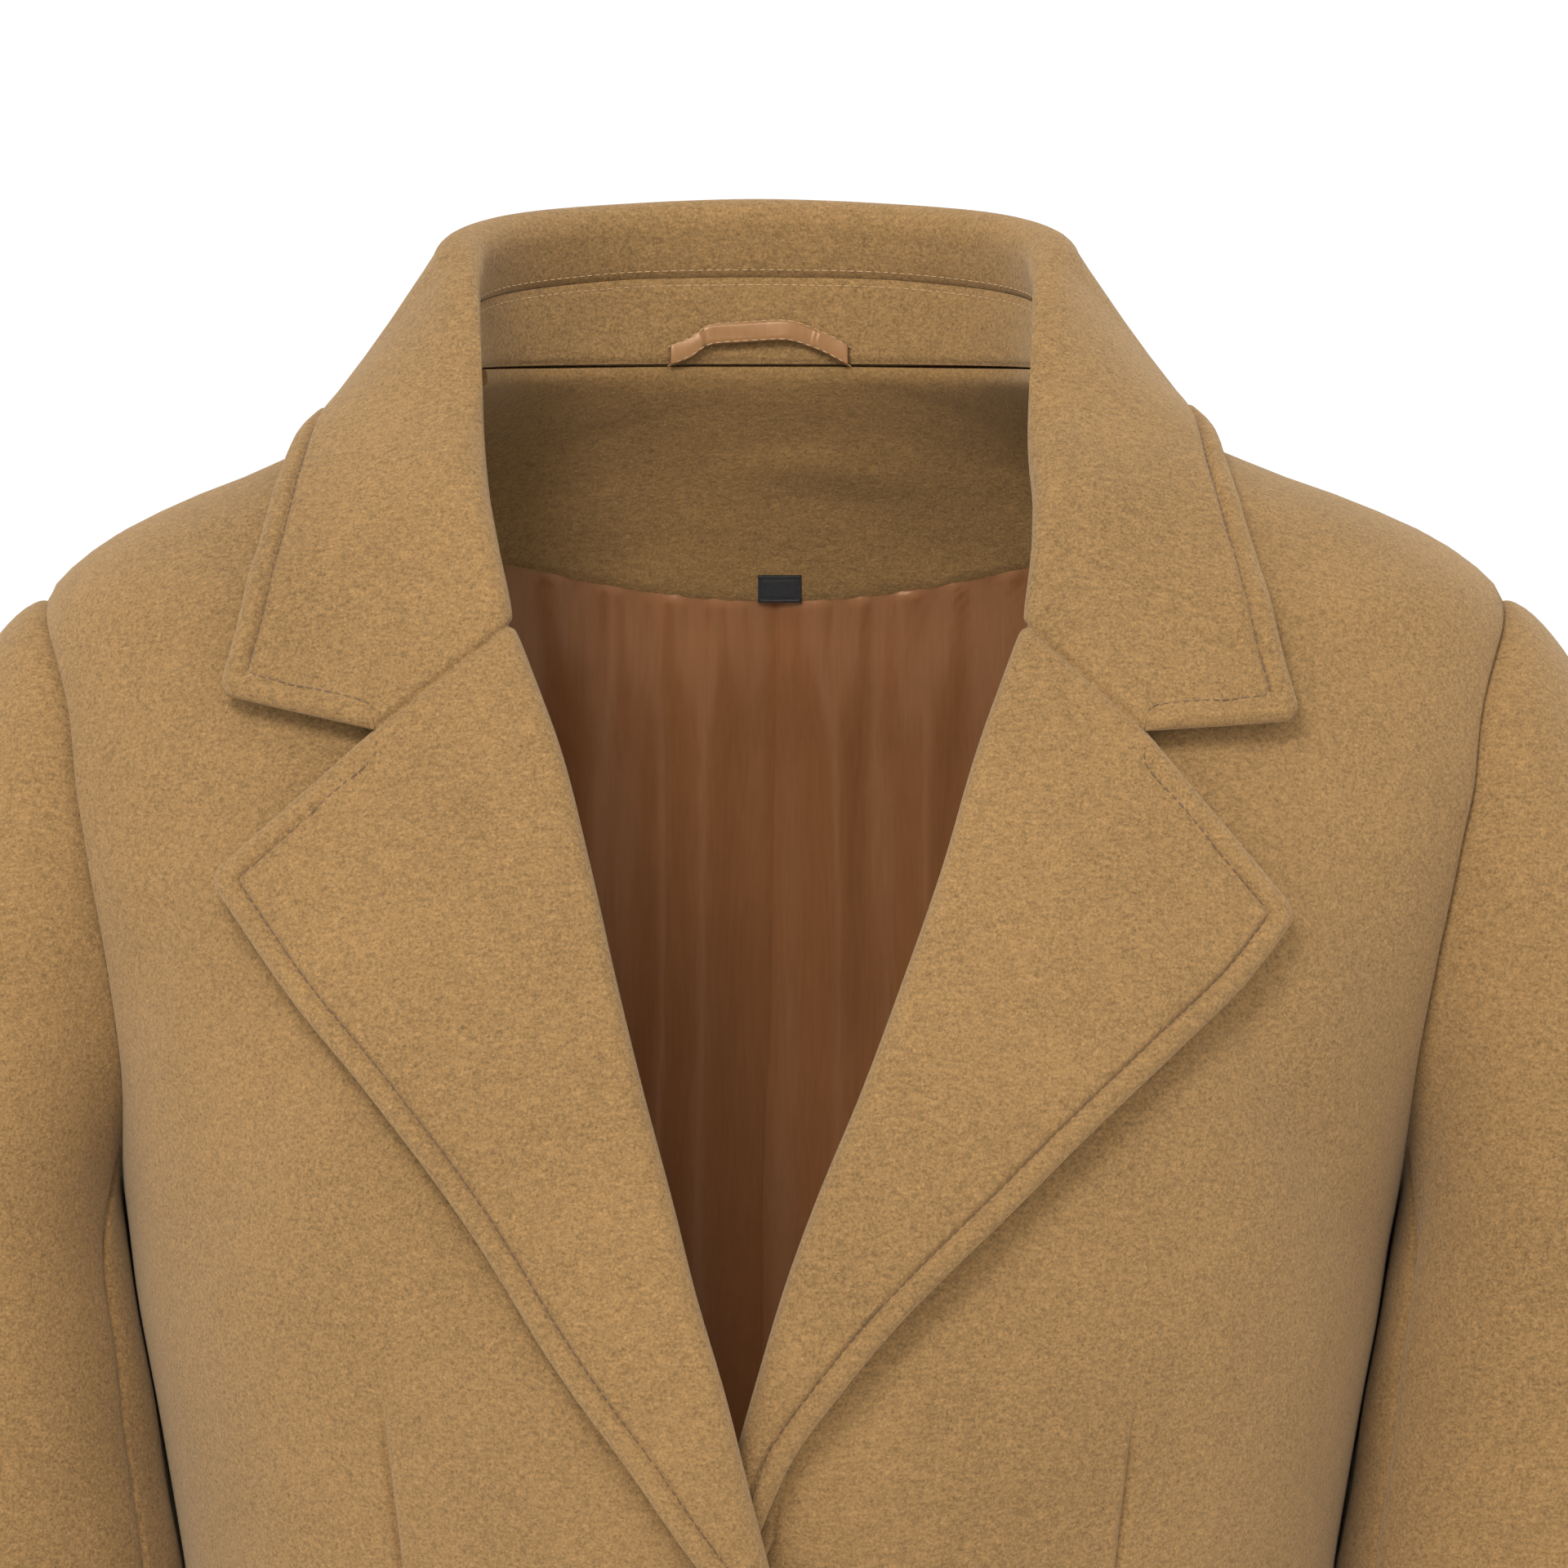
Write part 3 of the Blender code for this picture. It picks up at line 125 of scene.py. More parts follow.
# What the front panels reach above the lapels, along the neck, and below them, at the free edge.
necklineColumns = ("z", "right", "left")
necklineTable = (
    (-0.0040, 0.0895, 0.0815),
    (-0.0180, 0.0893, 0.0808),
    (-0.0340, 0.0882, 0.0802),
    (-0.0500, 0.0860, 0.0797),
    (-0.0655, 0.0828, 0.0797),
)
edgeColumns = ("z", "right", "left")
edgeTable = (
    (-0.3145, 0.0, -0.0050),
    (-0.320, 0.0, -0.0080),
    (-0.345, 0.0, -0.0215),
    (-0.385, -0.0045, -0.0225),
    (-0.3905, -0.0055, -0.0225),
    (-0.3925, -0.0190, -0.0225),
    (-0.410, -0.0213, -0.0225),
    (-0.440, -0.0225, -0.0225),
    (-0.700, -0.0225, -0.0225),
)
lapelEnd = {"right": -0.385, "left": -0.312}

# The lapel's corners and outer edge. Share runs from the lapel's point to its lower end.
lapelEdgeColumns = ("share", "right", "rightZ", "left", "leftZ")
lapelEdgeTable = (
    (0.00, 0.1563, -0.1375, 0.1458, -0.1471),
    (0.10, 0.1317, -0.1706, 0.1297, -0.1665),
    (0.20, 0.1112, -0.1938, 0.1120, -0.1825),
    (0.36, 0.0822, -0.2306, 0.0860, -0.2057),
    (0.49, 0.0607, -0.2637, 0.0655, -0.2253),
    (0.60, 0.0397, -0.2923, 0.0480, -0.2418),
    (0.70, 0.0269, -0.3113, 0.0335, -0.2566),
    (0.82, 0.0088, -0.3383, 0.0175, -0.2760),
    (0.91, -0.0005, -0.3600, 0.0060, -0.2925),
    (1.00, -0.0088, -0.3895, -0.0055, -0.3190),
)
gorgeTop = -0.067  # height at which the seam between collar and lapel turns over the fold
notchPlace = {"right": (0.1100, -0.0965), "left": (0.1035, -0.0967)}
collarCorner = {"right": (0.1541, -0.0876), "left": (0.1475, -0.0945)}

# Collar, from the centre back to the end of the gorge seam: own-side places of its roll
# and of its outer edge, and the share of the roll's height where the stand's seam lies.
collarColumns = ("share", "neckZ", "rollX", "rollY", "rollZ")
collarColumns += ("edgeX", "edgeY", "edgeZ", "seam")
collarTable = (
    (0.00, 0.000, 0.0000, 0.0095, 0.0500, 0.0000, 0.0260, -0.0280, 0.52),
    (0.13, 0.000, 0.0310, 0.0050, 0.0485, 0.0420, 0.0225, -0.0280, 0.52),
    (0.26, 0.000, 0.0600, -0.0110, 0.0465, 0.0800, 0.0130, -0.0270, 0.50),
    (0.37, 0.000, 0.0775, -0.0310, 0.0432, 0.1090, -0.0080, -0.0235, 0.48),
    (0.46, 0.000, 0.0838, -0.0500, 0.0385, 0.1245, -0.0380, -0.0180, 0.46),
    (0.54, -0.004, 0.0830, -0.0680, 0.0275, 0.1275, -0.0650, -0.0165, 0.40),
    (0.62, -0.013, 0.0812, -0.0860, 0.0120, 0.1300, -0.0850, -0.0240, 0.12),
    (0.71, -0.024, 0.0795, -0.1050, -0.0080, 0.1340, -0.1040, -0.0355, 0.00),
    (0.80, -0.036, 0.0780, -0.1200, -0.0240, 0.1390, -0.1220, -0.0505, 0.00),
    (0.90, -0.051, 0.0750, -0.1360, -0.0450, 0.1445, -0.1390, -0.0690, 0.00),
    (1.00, -0.067, 0.0709, -0.1490, -0.0670, 0.1500, -0.1480, -0.0880, 0.00),
)
neckShift = -0.0045  # the collar's middle, across
neckLift = 0.0010  # of the stand over the neck seam
fallClearance = 0.0036  # from the body's form to the middle of the fall
collarRounder = 0.0015  # added to the radius of the collar's roll at the back
standEnd = 0.60

# How far the wearer's right front stands out over the left one, near the centre front.
lapColumns = ("z", "lift")
lapTable = (
    (-0.200, 0.0),
    (-0.240, 0.0040),
    (-0.280, 0.0116),
    (-0.345, 0.0116),
    (-0.400, 0.0048),
    (-0.700, 0.0042),
)
foldFade = 0.030  # folds die out over this much beside a seam
lapFull = 0.030  # own-side distance within which the lift is whole
lapNone = 0.105
lapelRiseColumns = ("z", "right", "left")
lapelRiseTable = (
    (-0.060, 0.0045, 0.0045),
    (-0.260, 0.0045, 0.0045),
    (-0.290, 0.0045, 0.0030),
    (-0.330, 0.0042, 0.0030),
    (-0.385, 0.0030, 0.0030),
)

# Waist darts of the fronts: place across, and how deep the seam draws the cloth in.
dartColumns = ("z", "across", "depth")
dartTable = (
    (-0.235, 0.1060, 0.0),
    (-0.262, 0.1055, 0.0002),
    (-0.290, 0.1035, 0.0008),
    (-0.345, 0.0985, 0.0014),
    (-0.395, 0.0970, 0.0016),
    (-0.430, 0.0975, 0.0014),
    (-0.480, 0.0990, 0.0006),
    (-0.540, 0.1010, 0.0),
)

# Sleeve rings, own side. Inner is next to the body.
sleeveColumns = ("z", "inner", "outer", "middleY", "halfDepth")
sleeveTable = (
    (-0.262, 0.1735, 0.2840, -0.074, 0.0700),
    (-0.300, 0.1665, 0.2880, -0.078, 0.0670),
    (-0.340, 0.1620, 0.2905, -0.082, 0.0625),
    (-0.380, 0.1710, 0.2930, -0.085, 0.0595),
    (-0.430, 0.1830, 0.2970, -0.091, 0.0575),
    (-0.480, 0.1950, 0.3015, -0.097, 0.0555),
    (-0.530, 0.2060, 0.3060, -0.104, 0.0530),
    (-0.580, 0.2160, 0.3105, -0.112, 0.0510),
    (-0.625, 0.2240, 0.3140, -0.119, 0.0490),
)
sleeveClearance = 0.0006  # from the body, where the sleeve rests on it
capStart = 0.016  # how far the sleeve head stands straight out from its seam
capLean = 0.58  # of the cap's height, how long it keeps the arm's own line

# Soft folds of the hanging cloth. Face is -1 in front and 1 behind; x runs to the wearer's left.
# columns: face, x, z, reach along, reach across, tilt in degrees, depth (below zero a ridge)
bodyFoldTable = (
    (-1, -0.150, -0.215, 0.050, 0.012, 30, 0.0030),
    (-1, 0.150, -0.205, 0.055, 0.012, -28, 0.0028),
    (-1, -0.120, -0.590, 0.090, 0.026, 6, 0.0050),
    (-1, 0.105, -0.600, 0.085, 0.024, -5, 0.0048),
    (1, -0.130, -0.200, 0.060, 0.014, -24, 0.0034),
    (1, 0.132, -0.190, 0.055, 0.013, 26, 0.0032),
    (1, -0.060, -0.350, 0.070, 0.018, 12, 0.0030),
    (1, 0.045, -0.375, 0.060, 0.016, -14, 0.0026),
    (1, -0.095, -0.610, 0.080, 0.026, 5, 0.0050),
    (1, 0.000, -0.620, 0.085, 0.024, 0, -0.0040),
    (1, 0.098, -0.605, 0.078, 0.025, -6, 0.0052),
)
# columns: angle, z, reach along, reach across, tilt in degrees, depth
sleeveFolds = (
    (100, -0.235, 0.050, 0.013, 25, 0.0040),
    (62, -0.345, 0.045, 0.011, 55, 0.0034),
    (75, -0.395, 0.040, 0.010, 60, 0.0036),
    (110, -0.470, 0.060, 0.013, 20, 0.0028),
    (250, -0.250, 0.055, 0.014, -25, 0.0040),
    (285, -0.380, 0.050, 0.012, -50, 0.0036),
    (262, -0.440, 0.045, 0.011, -55, 0.0030),
    (240, -0.540, 0.055, 0.013, -20, 0.0026),
)

# Gathers of the lining, as the solid has them.
# columns: place across one half, width, depth at the seam, depth below it
gathers = {
    "right": (
        (0.006, 0.0050, 0.0010, 0.0012),
        (0.024, 0.0060, 0.0030, 0.0058),
        (0.040, 0.0055, 0.0024, 0.0050),
        (0.058, 0.0070, 0.0026, 0.0064),
        (0.080, 0.0075, 0.0018, 0.0050),
        (0.112, 0.0100, 0.0010, 0.0055),
        (0.145, 0.0110, 0.0006, 0.0045),
    ),
    "left": (
        (0.006, 0.0050, 0.0010, 0.0012),
        (0.019, 0.0050, 0.0030, 0.0052),
        (0.032, 0.0050, 0.0032, 0.0044),
        (0.046, 0.0055, 0.0028, 0.0060),
        (0.062, 0.0060, 0.0024, 0.0054),
        (0.084, 0.0080, 0.0016, 0.0056),
        (0.125, 0.0110, 0.0008, 0.0050),
    ),
}

sides = {"right": -1, "left": 1}


def hermite(keys, values, at):
    slopes = np.diff(values) / np.diff(keys)
    tangents = np.concatenate([slopes[:1], np.zeros(len(keys) - 2), slopes[-1:]])
    for i in range(1, len(keys) - 1):
        before, after = slopes[i - 1], slopes[i]
        if before * after > 0:
            tangents[i] = 2 * before * after / (before + after)
    at = np.clip(at, keys[0], keys[-1])
    i = np.clip(np.searchsorted(keys, at) - 1, 0, len(keys) - 2)
    width = keys[i + 1] - keys[i]
    t = (at - keys[i]) / width
    rise = values[i] * (1 + 2 * t) * (1 - t) ** 2 + values[i + 1] * t**2 * (3 - 2 * t)
    return rise + width * (tangents[i] * t * (1 - t) ** 2 - tangents[i + 1] * t**2 * (1 - t))


def track(table, columns, name):
    rows = sorted(table)
    keys = np.array([row[0] for row in rows])
    values = np.array([row[columns.index(name)] for row in rows], float)
    return lambda at: hermite(keys, values, np.asarray(at, float))


def tracks(table, columns):
    return {name: track(table, columns, name) for name in columns[1:]}


bodyAt = tracks(bodyTable, bodyColumns)
rollAt = tracks(rollTable, rollColumns)
necklineAt = tracks(necklineTable, necklineColumns)
lapelEdgeAt = tracks(lapelEdgeTable, lapelEdgeColumns)
collarAt = tracks(collarTable, collarColumns)
lapAt = tracks(lapTable, lapColumns)["lift"]
lapelRiseAt = tracks(lapelRiseTable, lapelRiseColumns)
dartAt = tracks(dartTable, dartColumns)
sleeveAt = tracks(sleeveTable, sleeveColumns)


def smoothstep(low, high, value):
    t = np.clip((value - low) / (high - low), 0.0, 1.0)
    return t * t * (3 - 2 * t)


def unit(vectors):
    return vectors / np.linalg.norm(vectors, axis=-1, keepdims=True)


def stack(x, y, z):
    return np.stack(np.broadcast_arrays(x, y, z), axis=-1).astype(float)


def bodyPoint(angle, z):
    across, ahead = np.cos(angle), np.sin(angle)
    depth = np.where(ahead > 0, bodyAt["frontDepth"](z), bodyAt["backDepth"](z))
    x = bodyAt["halfWidth"](z) * np.sign(across) * np.abs(across) ** (2 / squareness)
    y = bodyAt["seamY"](z) - np.sign(ahead) * depth * np.abs(ahead) ** (2 / squareness)
    return stack(x, y, z)


def bulge(x, z):
    # share of the body's depth that is left at this distance from its middle
    ratio = np.clip(np.abs(np.asarray(x)) / bodyAt["halfWidth"](z), 0, 1)
    return (1 - ratio**squareness) ** (1 / squareness)


def frontAngle(x, z):
    ratio = np.clip(np.asarray(x) / bodyAt["halfWidth"](z), -1, 1)
    return np.arccos(np.sign(ratio) * np.abs(ratio) ** (squareness / 2))


def frontY(x, z):
    return bodyAt["seamY"](z) - bodyAt["frontDepth"](z) * bulge(x, z)


def bodyNormal(angle, z):
    step = 1e-3
    along = bodyPoint(angle + step, z) - bodyPoint(angle - step, z)
    up = bodyPoint(angle, z + step) - bodyPoint(angle, z - step)
    return unit(np.cross(up, along))


def armhole(turn):
    z = armholeMiddle - armholeHalfHeight * np.cos(turn)
    ahead = np.sin(turn)
    reach = np.where(ahead > 0, armholeFront, armholeBack) * np.abs(ahead)
    depth = np.where(ahead > 0, bodyAt["frontDepth"](z), bodyAt["backDepth"](z))
    return np.sign(ahead) * np.arcsin((reach / depth) ** (squareness / 2)), z


def outerAngle(z, face):
    # where a front (1) or the back (-1) ends at the side: its armhole, or the side seam
    share = (armholeMiddle - z) / armholeHalfHeight
    return float(armhole(face * np.arccos(share))[0]) if abs(share) < 1 - 1e-9 else 0.0


def place(points, side):
    placed = points.copy()
    placed[..., 0] = side * points[..., 0] + bodyAt["sway"](points[..., 2])
    return placed


def lapLift(side, x, z):
    if side > 0:
        return 0.0 * x
    return lapAt(z) * (1 - smoothstep(lapFull, lapNone, x))


def normalsOf(grid):
    return unit(np.cross(np.gradient(grid, axis=1), np.gradient(grid, axis=0)))


def foldDepth(alongDistance, acrossDistance, along, across, tilt, depth):
    turn = np.radians(tilt)
    lengthways = np.cos(turn) * alongDistance + np.sin(turn) * acrossDistance
    sideways = -np.sin(turn) * alongDistance + np.cos(turn) * acrossDistance
    return depth * np.exp(-((lengthways / along) ** 2) - (sideways / across) ** 2)


def turnWidth(which, z):
    return lapelFoot * (doubleWall / 2 + lapelRiseAt[which](z) + rollTail) + footGap


def innerEdge(which, z):
    # own-side place of a front's inner edge: the neckline, the lapel's fold, then the free edge
    drift = sides[which] * float(bodyAt["sway"](z))
    if z > gorgeTop:
        return float(necklineAt[which](z)) - drift
    if z > lapelEnd[which] + 0.001:
        return float(rollAt[which](z) + turnWidth(which, z)) - drift
    rows = sorted(edgeTable)
    places = [row[edgeColumns.index(which)] for row in rows]
    return float(np.interp(z, [row[0] for row in rows], places)) - drift


def layerY(side, x, z, rise):
    own = side * (x - bodyAt["sway"](z))
    return frontY(own, z) - lapLift(side, own, z) + woolWall / 2 - 2 * rise


def gorge(which):
    side = sides[which]
    places = ((rollAt[which](gorgeTop), gorgeTop), notchPlace[which], collarCorner[which])
    return [np.array([side * float(x), z]) for x, z in places]


def frontTurn(which, fold, aim):
    side = sides[which]
    rise = float(lapelRiseAt[which](fold[1]))
    flat = (aim - fold) / np.linalg.norm(aim - fold)
    away = np.array([flat[0], 0.0, flat[1]])
    behind = layerY(side, fold[0] + flat[0] * rise, fold[1] + flat[1] * rise, 0.0)
    base = np.array([fold[0], behind - rise, fold[1]])
    return rollSection(base, away, np.array([0.0, -1.0, 0.0]), rise, away * rollTail), flat


def tablePoint(name, share, side):
    x, y, z = [float(collarAt[name + axis](share)) for axis in "XYZ"]
    return np.array([side * x + neckShift, y, z])


def neckPoint(share, which):
    side = sides[which]
    z = float(collarAt["neckZ"](share))
    if share < 0.5:
        angle, z = -np.pi / 2 * (1 - share / 0.5), 0.0
    else:
        across = necklineAt[which](z) - side * bodyAt["sway"](z)
        angle = float(frontAngle(across, z)) if z < 0 else 0.0
    depth = woolWall / 2 + 0.0012 * (1 - float(smoothstep(0.5, 1.0, share)))
    point = bodyPoint(angle, z) - bodyNormal(angle, min(z, -0.002)) * depth * np.array([1, 1, 0])
    point[2] += neckLift * (1 - float(smoothstep(0.5, 0.8, share)))
    return place(point, side)


def sleeveRing(turn, z):
    middle = (sleeveAt["inner"](z) + sleeveAt["outer"](z)) / 2
    half = (sleeveAt["outer"](z) - sleeveAt["inner"](z)) / 2
    x = middle - half * np.cos(turn)
    y = sleeveAt["middleY"](z) - sleeveAt["halfDepth"](z) * np.sin(turn)
    return stack(x, y, z)


def facingEdge(across):
    return -facingDrop + 1.5 * facingRise * np.tanh((across / facingSide) ** 2 / 1.5)


# The shell panels' outer edges at even heights, for what runs between them.
reachHeights = np.linspace(-coatLength - 0.004, 0.004, 320)
outerAngles, outerReaches = {}, {}
for face in (1, -1):
    outerAngles[face] = np.array([outerAngle(float(z), face) for z in reachHeights])
    outerReaches[face] = bodyPoint(outerAngles[face], reachHeights)[:, 0]


def bodyFolds(grid, face):
    x, z = grid[..., 0], grid[..., 2]
    depth = np.zeros(grid.shape[:2])
    for rowFace, foldX, foldZ, along, across, tilt, deep in bodyFoldTable:
        if rowFace == face:
            depth += foldDepth(z - foldZ, x - foldX, along, across, tilt, deep)
    inward = np.interp(z, reachHeights, outerReaches[-face]) - np.abs(x - bodyAt["sway"](z))
    return depth * smoothstep(0.0, foldFade, inward)


# Rows of points close together at seams and edges, as distances from them
seamSteps = (0.0, 0.0004, 0.0009, 0.0015, 0.0023, 0.0034, 0.0050)
dartSteps = (0.0, 0.0005, 0.0011, 0.0018, 0.0028, 0.0042)
hemSteps = (0.0042, 0.0030, 0.0021, 0.0014, 0.0008, 0.0003, 0.0)
edgeSteps = (0.0, 0.0002, 0.0005, 0.0009, 0.0014, 0.0021, 0.0031, 0.0044)
edgeSteps += (0.0055, 0.0061, 0.0066, 0.0070, 0.0074, 0.0080, 0.0090)

edging = {
    "stitch": 0.0070,  # topstitching, from the edge
    "puff": 0.00065,  # of the rim, between the edge and its stitches
    "channel": 0.00115,  # depth and width of the stitched groove
    "width": 0.00075,
    "seamWidth": 0.0012,  # of a seam's groove, and of the soft hollow round it
    "seamHollow": 0.0045,
    "armholeSeam": 0.0013,  # depths of the seams
    "sideSeam": 0.0009,
    "gorgeSeam": 0.0015,
    "dartSeam": 0.0019,
    "dartWidth": 0.0011,  # of a dart's groove, and of the soft hollow round it
    "dartHollow": 0.016,
    "neckSeam": 0.0010,
    "standSeam": 0.0006,
    "hemStitch": 0.0003,  # what the blind stitches of a hem draw in
}


def spread(length, count, first, last):
    # places along a length, close together at both ends
    room = (first[-1] + last[-1]) * 1.6
    scale = min(1.0, length / room)
    low = np.array(first) * scale
    high = length - np.array(last)[::-1] * scale
    return np.concatenate([low, np.linspace(low[-1], high[0], count + 2)[1:-1], high])


def reachFrom(points, line):
    # least distance of every point from a line of points
    best = np.full(points.shape[:-1], 1e9)
    for start, end in zip(line[:-1], line[1:]):
        along = end - start
        size = np.dot(along, along)
        if size < 1e-14:
            continue
        t = np.clip(((points - start) @ along) / size, 0, 1)
        best = np.minimum(best, np.linalg.norm(points - start - t[..., None] * along, axis=-1))
    return best


def nearest(points, lines):
    return np.min([reachFrom(points, line) for line in lines], axis=0)


def roundness(distance, radius):
    # share of the half thickness that is left near a turned edge
    t = np.clip(distance / radius, 0, 1)
    return 0.06 + 0.94 * np.sqrt(np.clip(1 - (1 - t) ** 2, 0, 1))


def bump(distance, middle, width):
    return np.exp(-(((distance - middle) / width) ** 2))


def edgeRelief(distance):
    # rim puffed up between the edge and its topstitching, and the stitched channel
    rim = smoothstep(0.0006, 0.0030, distance)
    rim = rim * (1 - smoothstep(0.0050, edging["stitch"], distance))
    channel = edging["channel"] * bump(distance, edging["stitch"], edging["width"])
    return edging["puff"] * rim - channel


def seamRelief(distance, depth):
    hollow = 0.25 * depth * bump(distance, 0, edging["seamHollow"])
    return -depth * bump(distance, 0, edging["seamWidth"]) - hollow


def hemRelief(distance, depth):
    return -edging["hemStitch"] * bump(distance, depth, 0.004)


def facing(grid, towards, columns=slice(None)):
    # a grid's normals, turned so that they point the given way on the whole
    normals = normalsOf(grid)
    return normals if np.sum((normals * towards)[:, columns]) > 0 else -normals


def newPiece(name, points, faces, smoothAngle=50):
    mesh = bpy.data.meshes.new(name)
    mesh.from_pydata(np.asarray(points).tolist(), [], [list(map(int, face)) for face in faces])
    mesh.update()
    mesh.shade_smooth()
    mesh.set_sharp_from_angle(angle=np.radians(smoothAngle))
    piece = bpy.data.objects.new(name, mesh)
    bpy.context.scene.collection.objects.link(piece)
    return piece


def closedMesh(name, outer, inner, smoothAngle=50):
    # a wall between two grids, closed round its rim, with its faces outward
    rows, columns = outer.shape[:2]
    count = rows * columns
    index = np.arange(count).reshape(rows, columns)
    quads = (index[:-1, :-1], index[:-1, 1:], index[1:, 1:], index[1:, :-1])
    quads = np.stack(quads, -1).reshape(-1, 4)
    rim = np.concatenate([index[0], index[1:, -1], index[-1, -2::-1], index[-2:0:-1, 0]])
    after = np.roll(rim, -1)
    rimFaces = np.stack([after, rim, rim + count, after + count], -1)
    faces = np.concatenate([quads, quads[:, ::-1] + count, rimFaces])
    points = np.concatenate([outer.reshape(-1, 3), inner.reshape(-1, 3)])
    corners = points[faces]
    volume = np.sum(corners[:, 0] * np.cross(corners[:, 1], corners[:, 2]))
    volume += np.sum(corners[:, 0] * np.cross(corners[:, 2], corners[:, 3]))
    if volume < 0:
        faces = faces[:, ::-1]
    return newPiece(name, points, faces, smoothAngle)


def clothWall(name, grid, normals, wall, relief, rounding, sunk=0.0):
    # the grid is the outer face; relief moves that face only, and so does what is sunk at a seam
    middle = grid - normals * wall / 2
    half = (wall / 2 * rounding)[..., None]
    raised = np.maximum(relief, -wall * 0.8)[..., None] * rounding[..., None]
    outer = middle + normals * (half + raised) + sunk
    return closedMesh(name, outer, middle - normals * half)


def bodyLevel(points):
    # below zero inside the body's form, own side
    z = points[..., 2]
    ahead = points[..., 1] - bodyAt["seamY"](z)
    deep = np.where(ahead < 0, bodyAt["frontDepth"](z), bodyAt["backDepth"](z))
    across = np.abs(points[..., 0]) / bodyAt["halfWidth"](z)
    return across**squareness + (np.abs(ahead) / deep) ** squareness - 1


def bodyGap(points):
    # distance from the body's form, below zero inside it, and the way out
    step = 1e-4
    slope = [bodyLevel(points + way) - bodyLevel(points - way) for way in np.eye(3) * step]
    slope = np.stack(slope, axis=-1) / (2 * step)
    size = np.linalg.norm(slope, axis=-1)
    return bodyLevel(points) / size, slope / size[..., None]


def clearOfBody(points, clearance, settle=False):
    # pushed out to a distance from the body, and with settle also drawn in to it
    points = np.array(points, float)
    for _ in range(10):
        gap, away = bodyGap(points)
        push = np.clip(clearance - gap, -0.004 if settle else 0.0, 0.004)
        points = points + away * np.expand_dims(push, -1)
    return points


def overBody(points, side, settle=False):
    # the same for the collar's fall, in the coat's own frame
    own = np.array(points, float)
    own[..., 0] = side * (own[..., 0] - bodyAt["sway"](own[..., 2]))
    return place(clearOfBody(own, fallClearance, settle), side)


def softCreases(points, rows):
    # uneven troughs and ridges, placed one by one
    depth = np.zeros(points.shape[:-1])
    for x, z, along, across, tilt, deep in rows:
        depth += foldDepth(points[..., 2] - z, points[..., 0] - x, along, across, tilt, deep)
    return depth


# Shell

panels = {
    "armholeRows": 56,
    "lowRows": 74,
    "columnsToDart": 18,
    "columnsBeyondDart": 20,
    "backColumns": 60,
    "plainShare": 0.4,  # of a front's width, where the dart's column runs above the dart
    "dartTop": (-0.272, -0.300),  # heights between which its groove comes in, and dies out
    "dartFoot": (-0.500, -0.530),
    "seamCalm": 0.012,  # creases die out over this much beside a seam
    "hem": 0.035,  # depth of the turned hem
}
# columns: x, z, reach along, reach across, tilt in degrees, depth (below zero a ridge)
frontCreases = (
    (-0.172, -0.150, 0.030, 0.0070, 12, 0.0012),
    (-0.163, -0.205, 0.034, 0.0080, 24, 0.0014),
    (0.168, -0.160, 0.032, 0.0075, -10, 0.0012),
    (0.158, -0.225, 0.030, 0.0080, -30, 0.0013),
    (-0.060, -0.430, 0.040, 0.0110, 62, 0.0014),
    (0.052, -0.405, 0.036, 0.0100, -66, 0.0013),
    (-0.128, -0.385, 0.034, 0.0100, 70, 0.0016),
    (0.131, -0.372, 0.030, 0.0090, -72, 0.0015),
    (-0.030, -0.600, 0.070, 0.0160, 3, -0.0018),
    (0.055, -0.640, 0.055, 0.0150, -8, 0.0018),
)
backCreases = (
    (-0.150, -0.245, 0.036, 0.0080, -34, 0.0015),
    (0.153, -0.232, 0.034, 0.0085, 38, 0.0014),
    (-0.030, -0.065, 0.030, 0.0090, 80, 0.0009),
    (0.040, -0.090, 0.036, 0.0100, 86, 0.0008),
    (-0.105, -0.365, 0.040, 0.0095, 74, 0.0017),
    (0.112, -0.352, 0.036, 0.0090, -76, 0.0016),
    (0.010, -0.395, 0.050, 0.0110, 88, 0.0013),
    (-0.045, -0.545, 0.060, 0.0150, 6, 0.0020),
    (0.060, -0.575, 0.055, 0.0140, -4, 0.0018),
)
coatMiddle = (0, -0.09, -0.3)


def fineHeights(top):
    turns = np.linspace(np.pi, 0, panels["armholeRows"])
    hole = armholeMiddle - armholeHalfHeight * np.cos(turns)
    above = np.linspace(top, hole[0], 14)[:-1]
    below = np.linspace(hole[-1], -coatLength + 0.006, panels["lowRows"])[1:]
    return np.concatenate([above, hole, below, -coatLength + np.array(hemSteps)])


def bodyRun(z, start, end):
    # angles round the body at one height, and the length of cloth up to each
    angles = np.linspace(start, end, 160)
    steps = np.linalg.norm(np.diff(bodyPoint(angles, z), axis=0), axis=1)
    return angles, np.concatenate([[0], np.cumsum(steps)])


def seamDepth(grid):
    besideArmhole = np.abs(grid[..., 2] - armholeMiddle) < armholeHalfHeight
    return np.where(besideArmhole, edging["armholeSeam"], edging["sideSeam"])


def sunkSeam(grid, heights, face, side, column):
    # drawn in along the body's own way out, so that all the pieces that meet there sink alike
    heights = [min(z, -0.002) for z in heights]
    way = np.array([bodyNormal(outerAngle(z, face), z) for z in heights]) * (side, 1, 1)
    depth = seamRelief(reachFrom(grid, grid[:, column]), seamDepth(grid))
    return depth[..., None] * way[:, None]


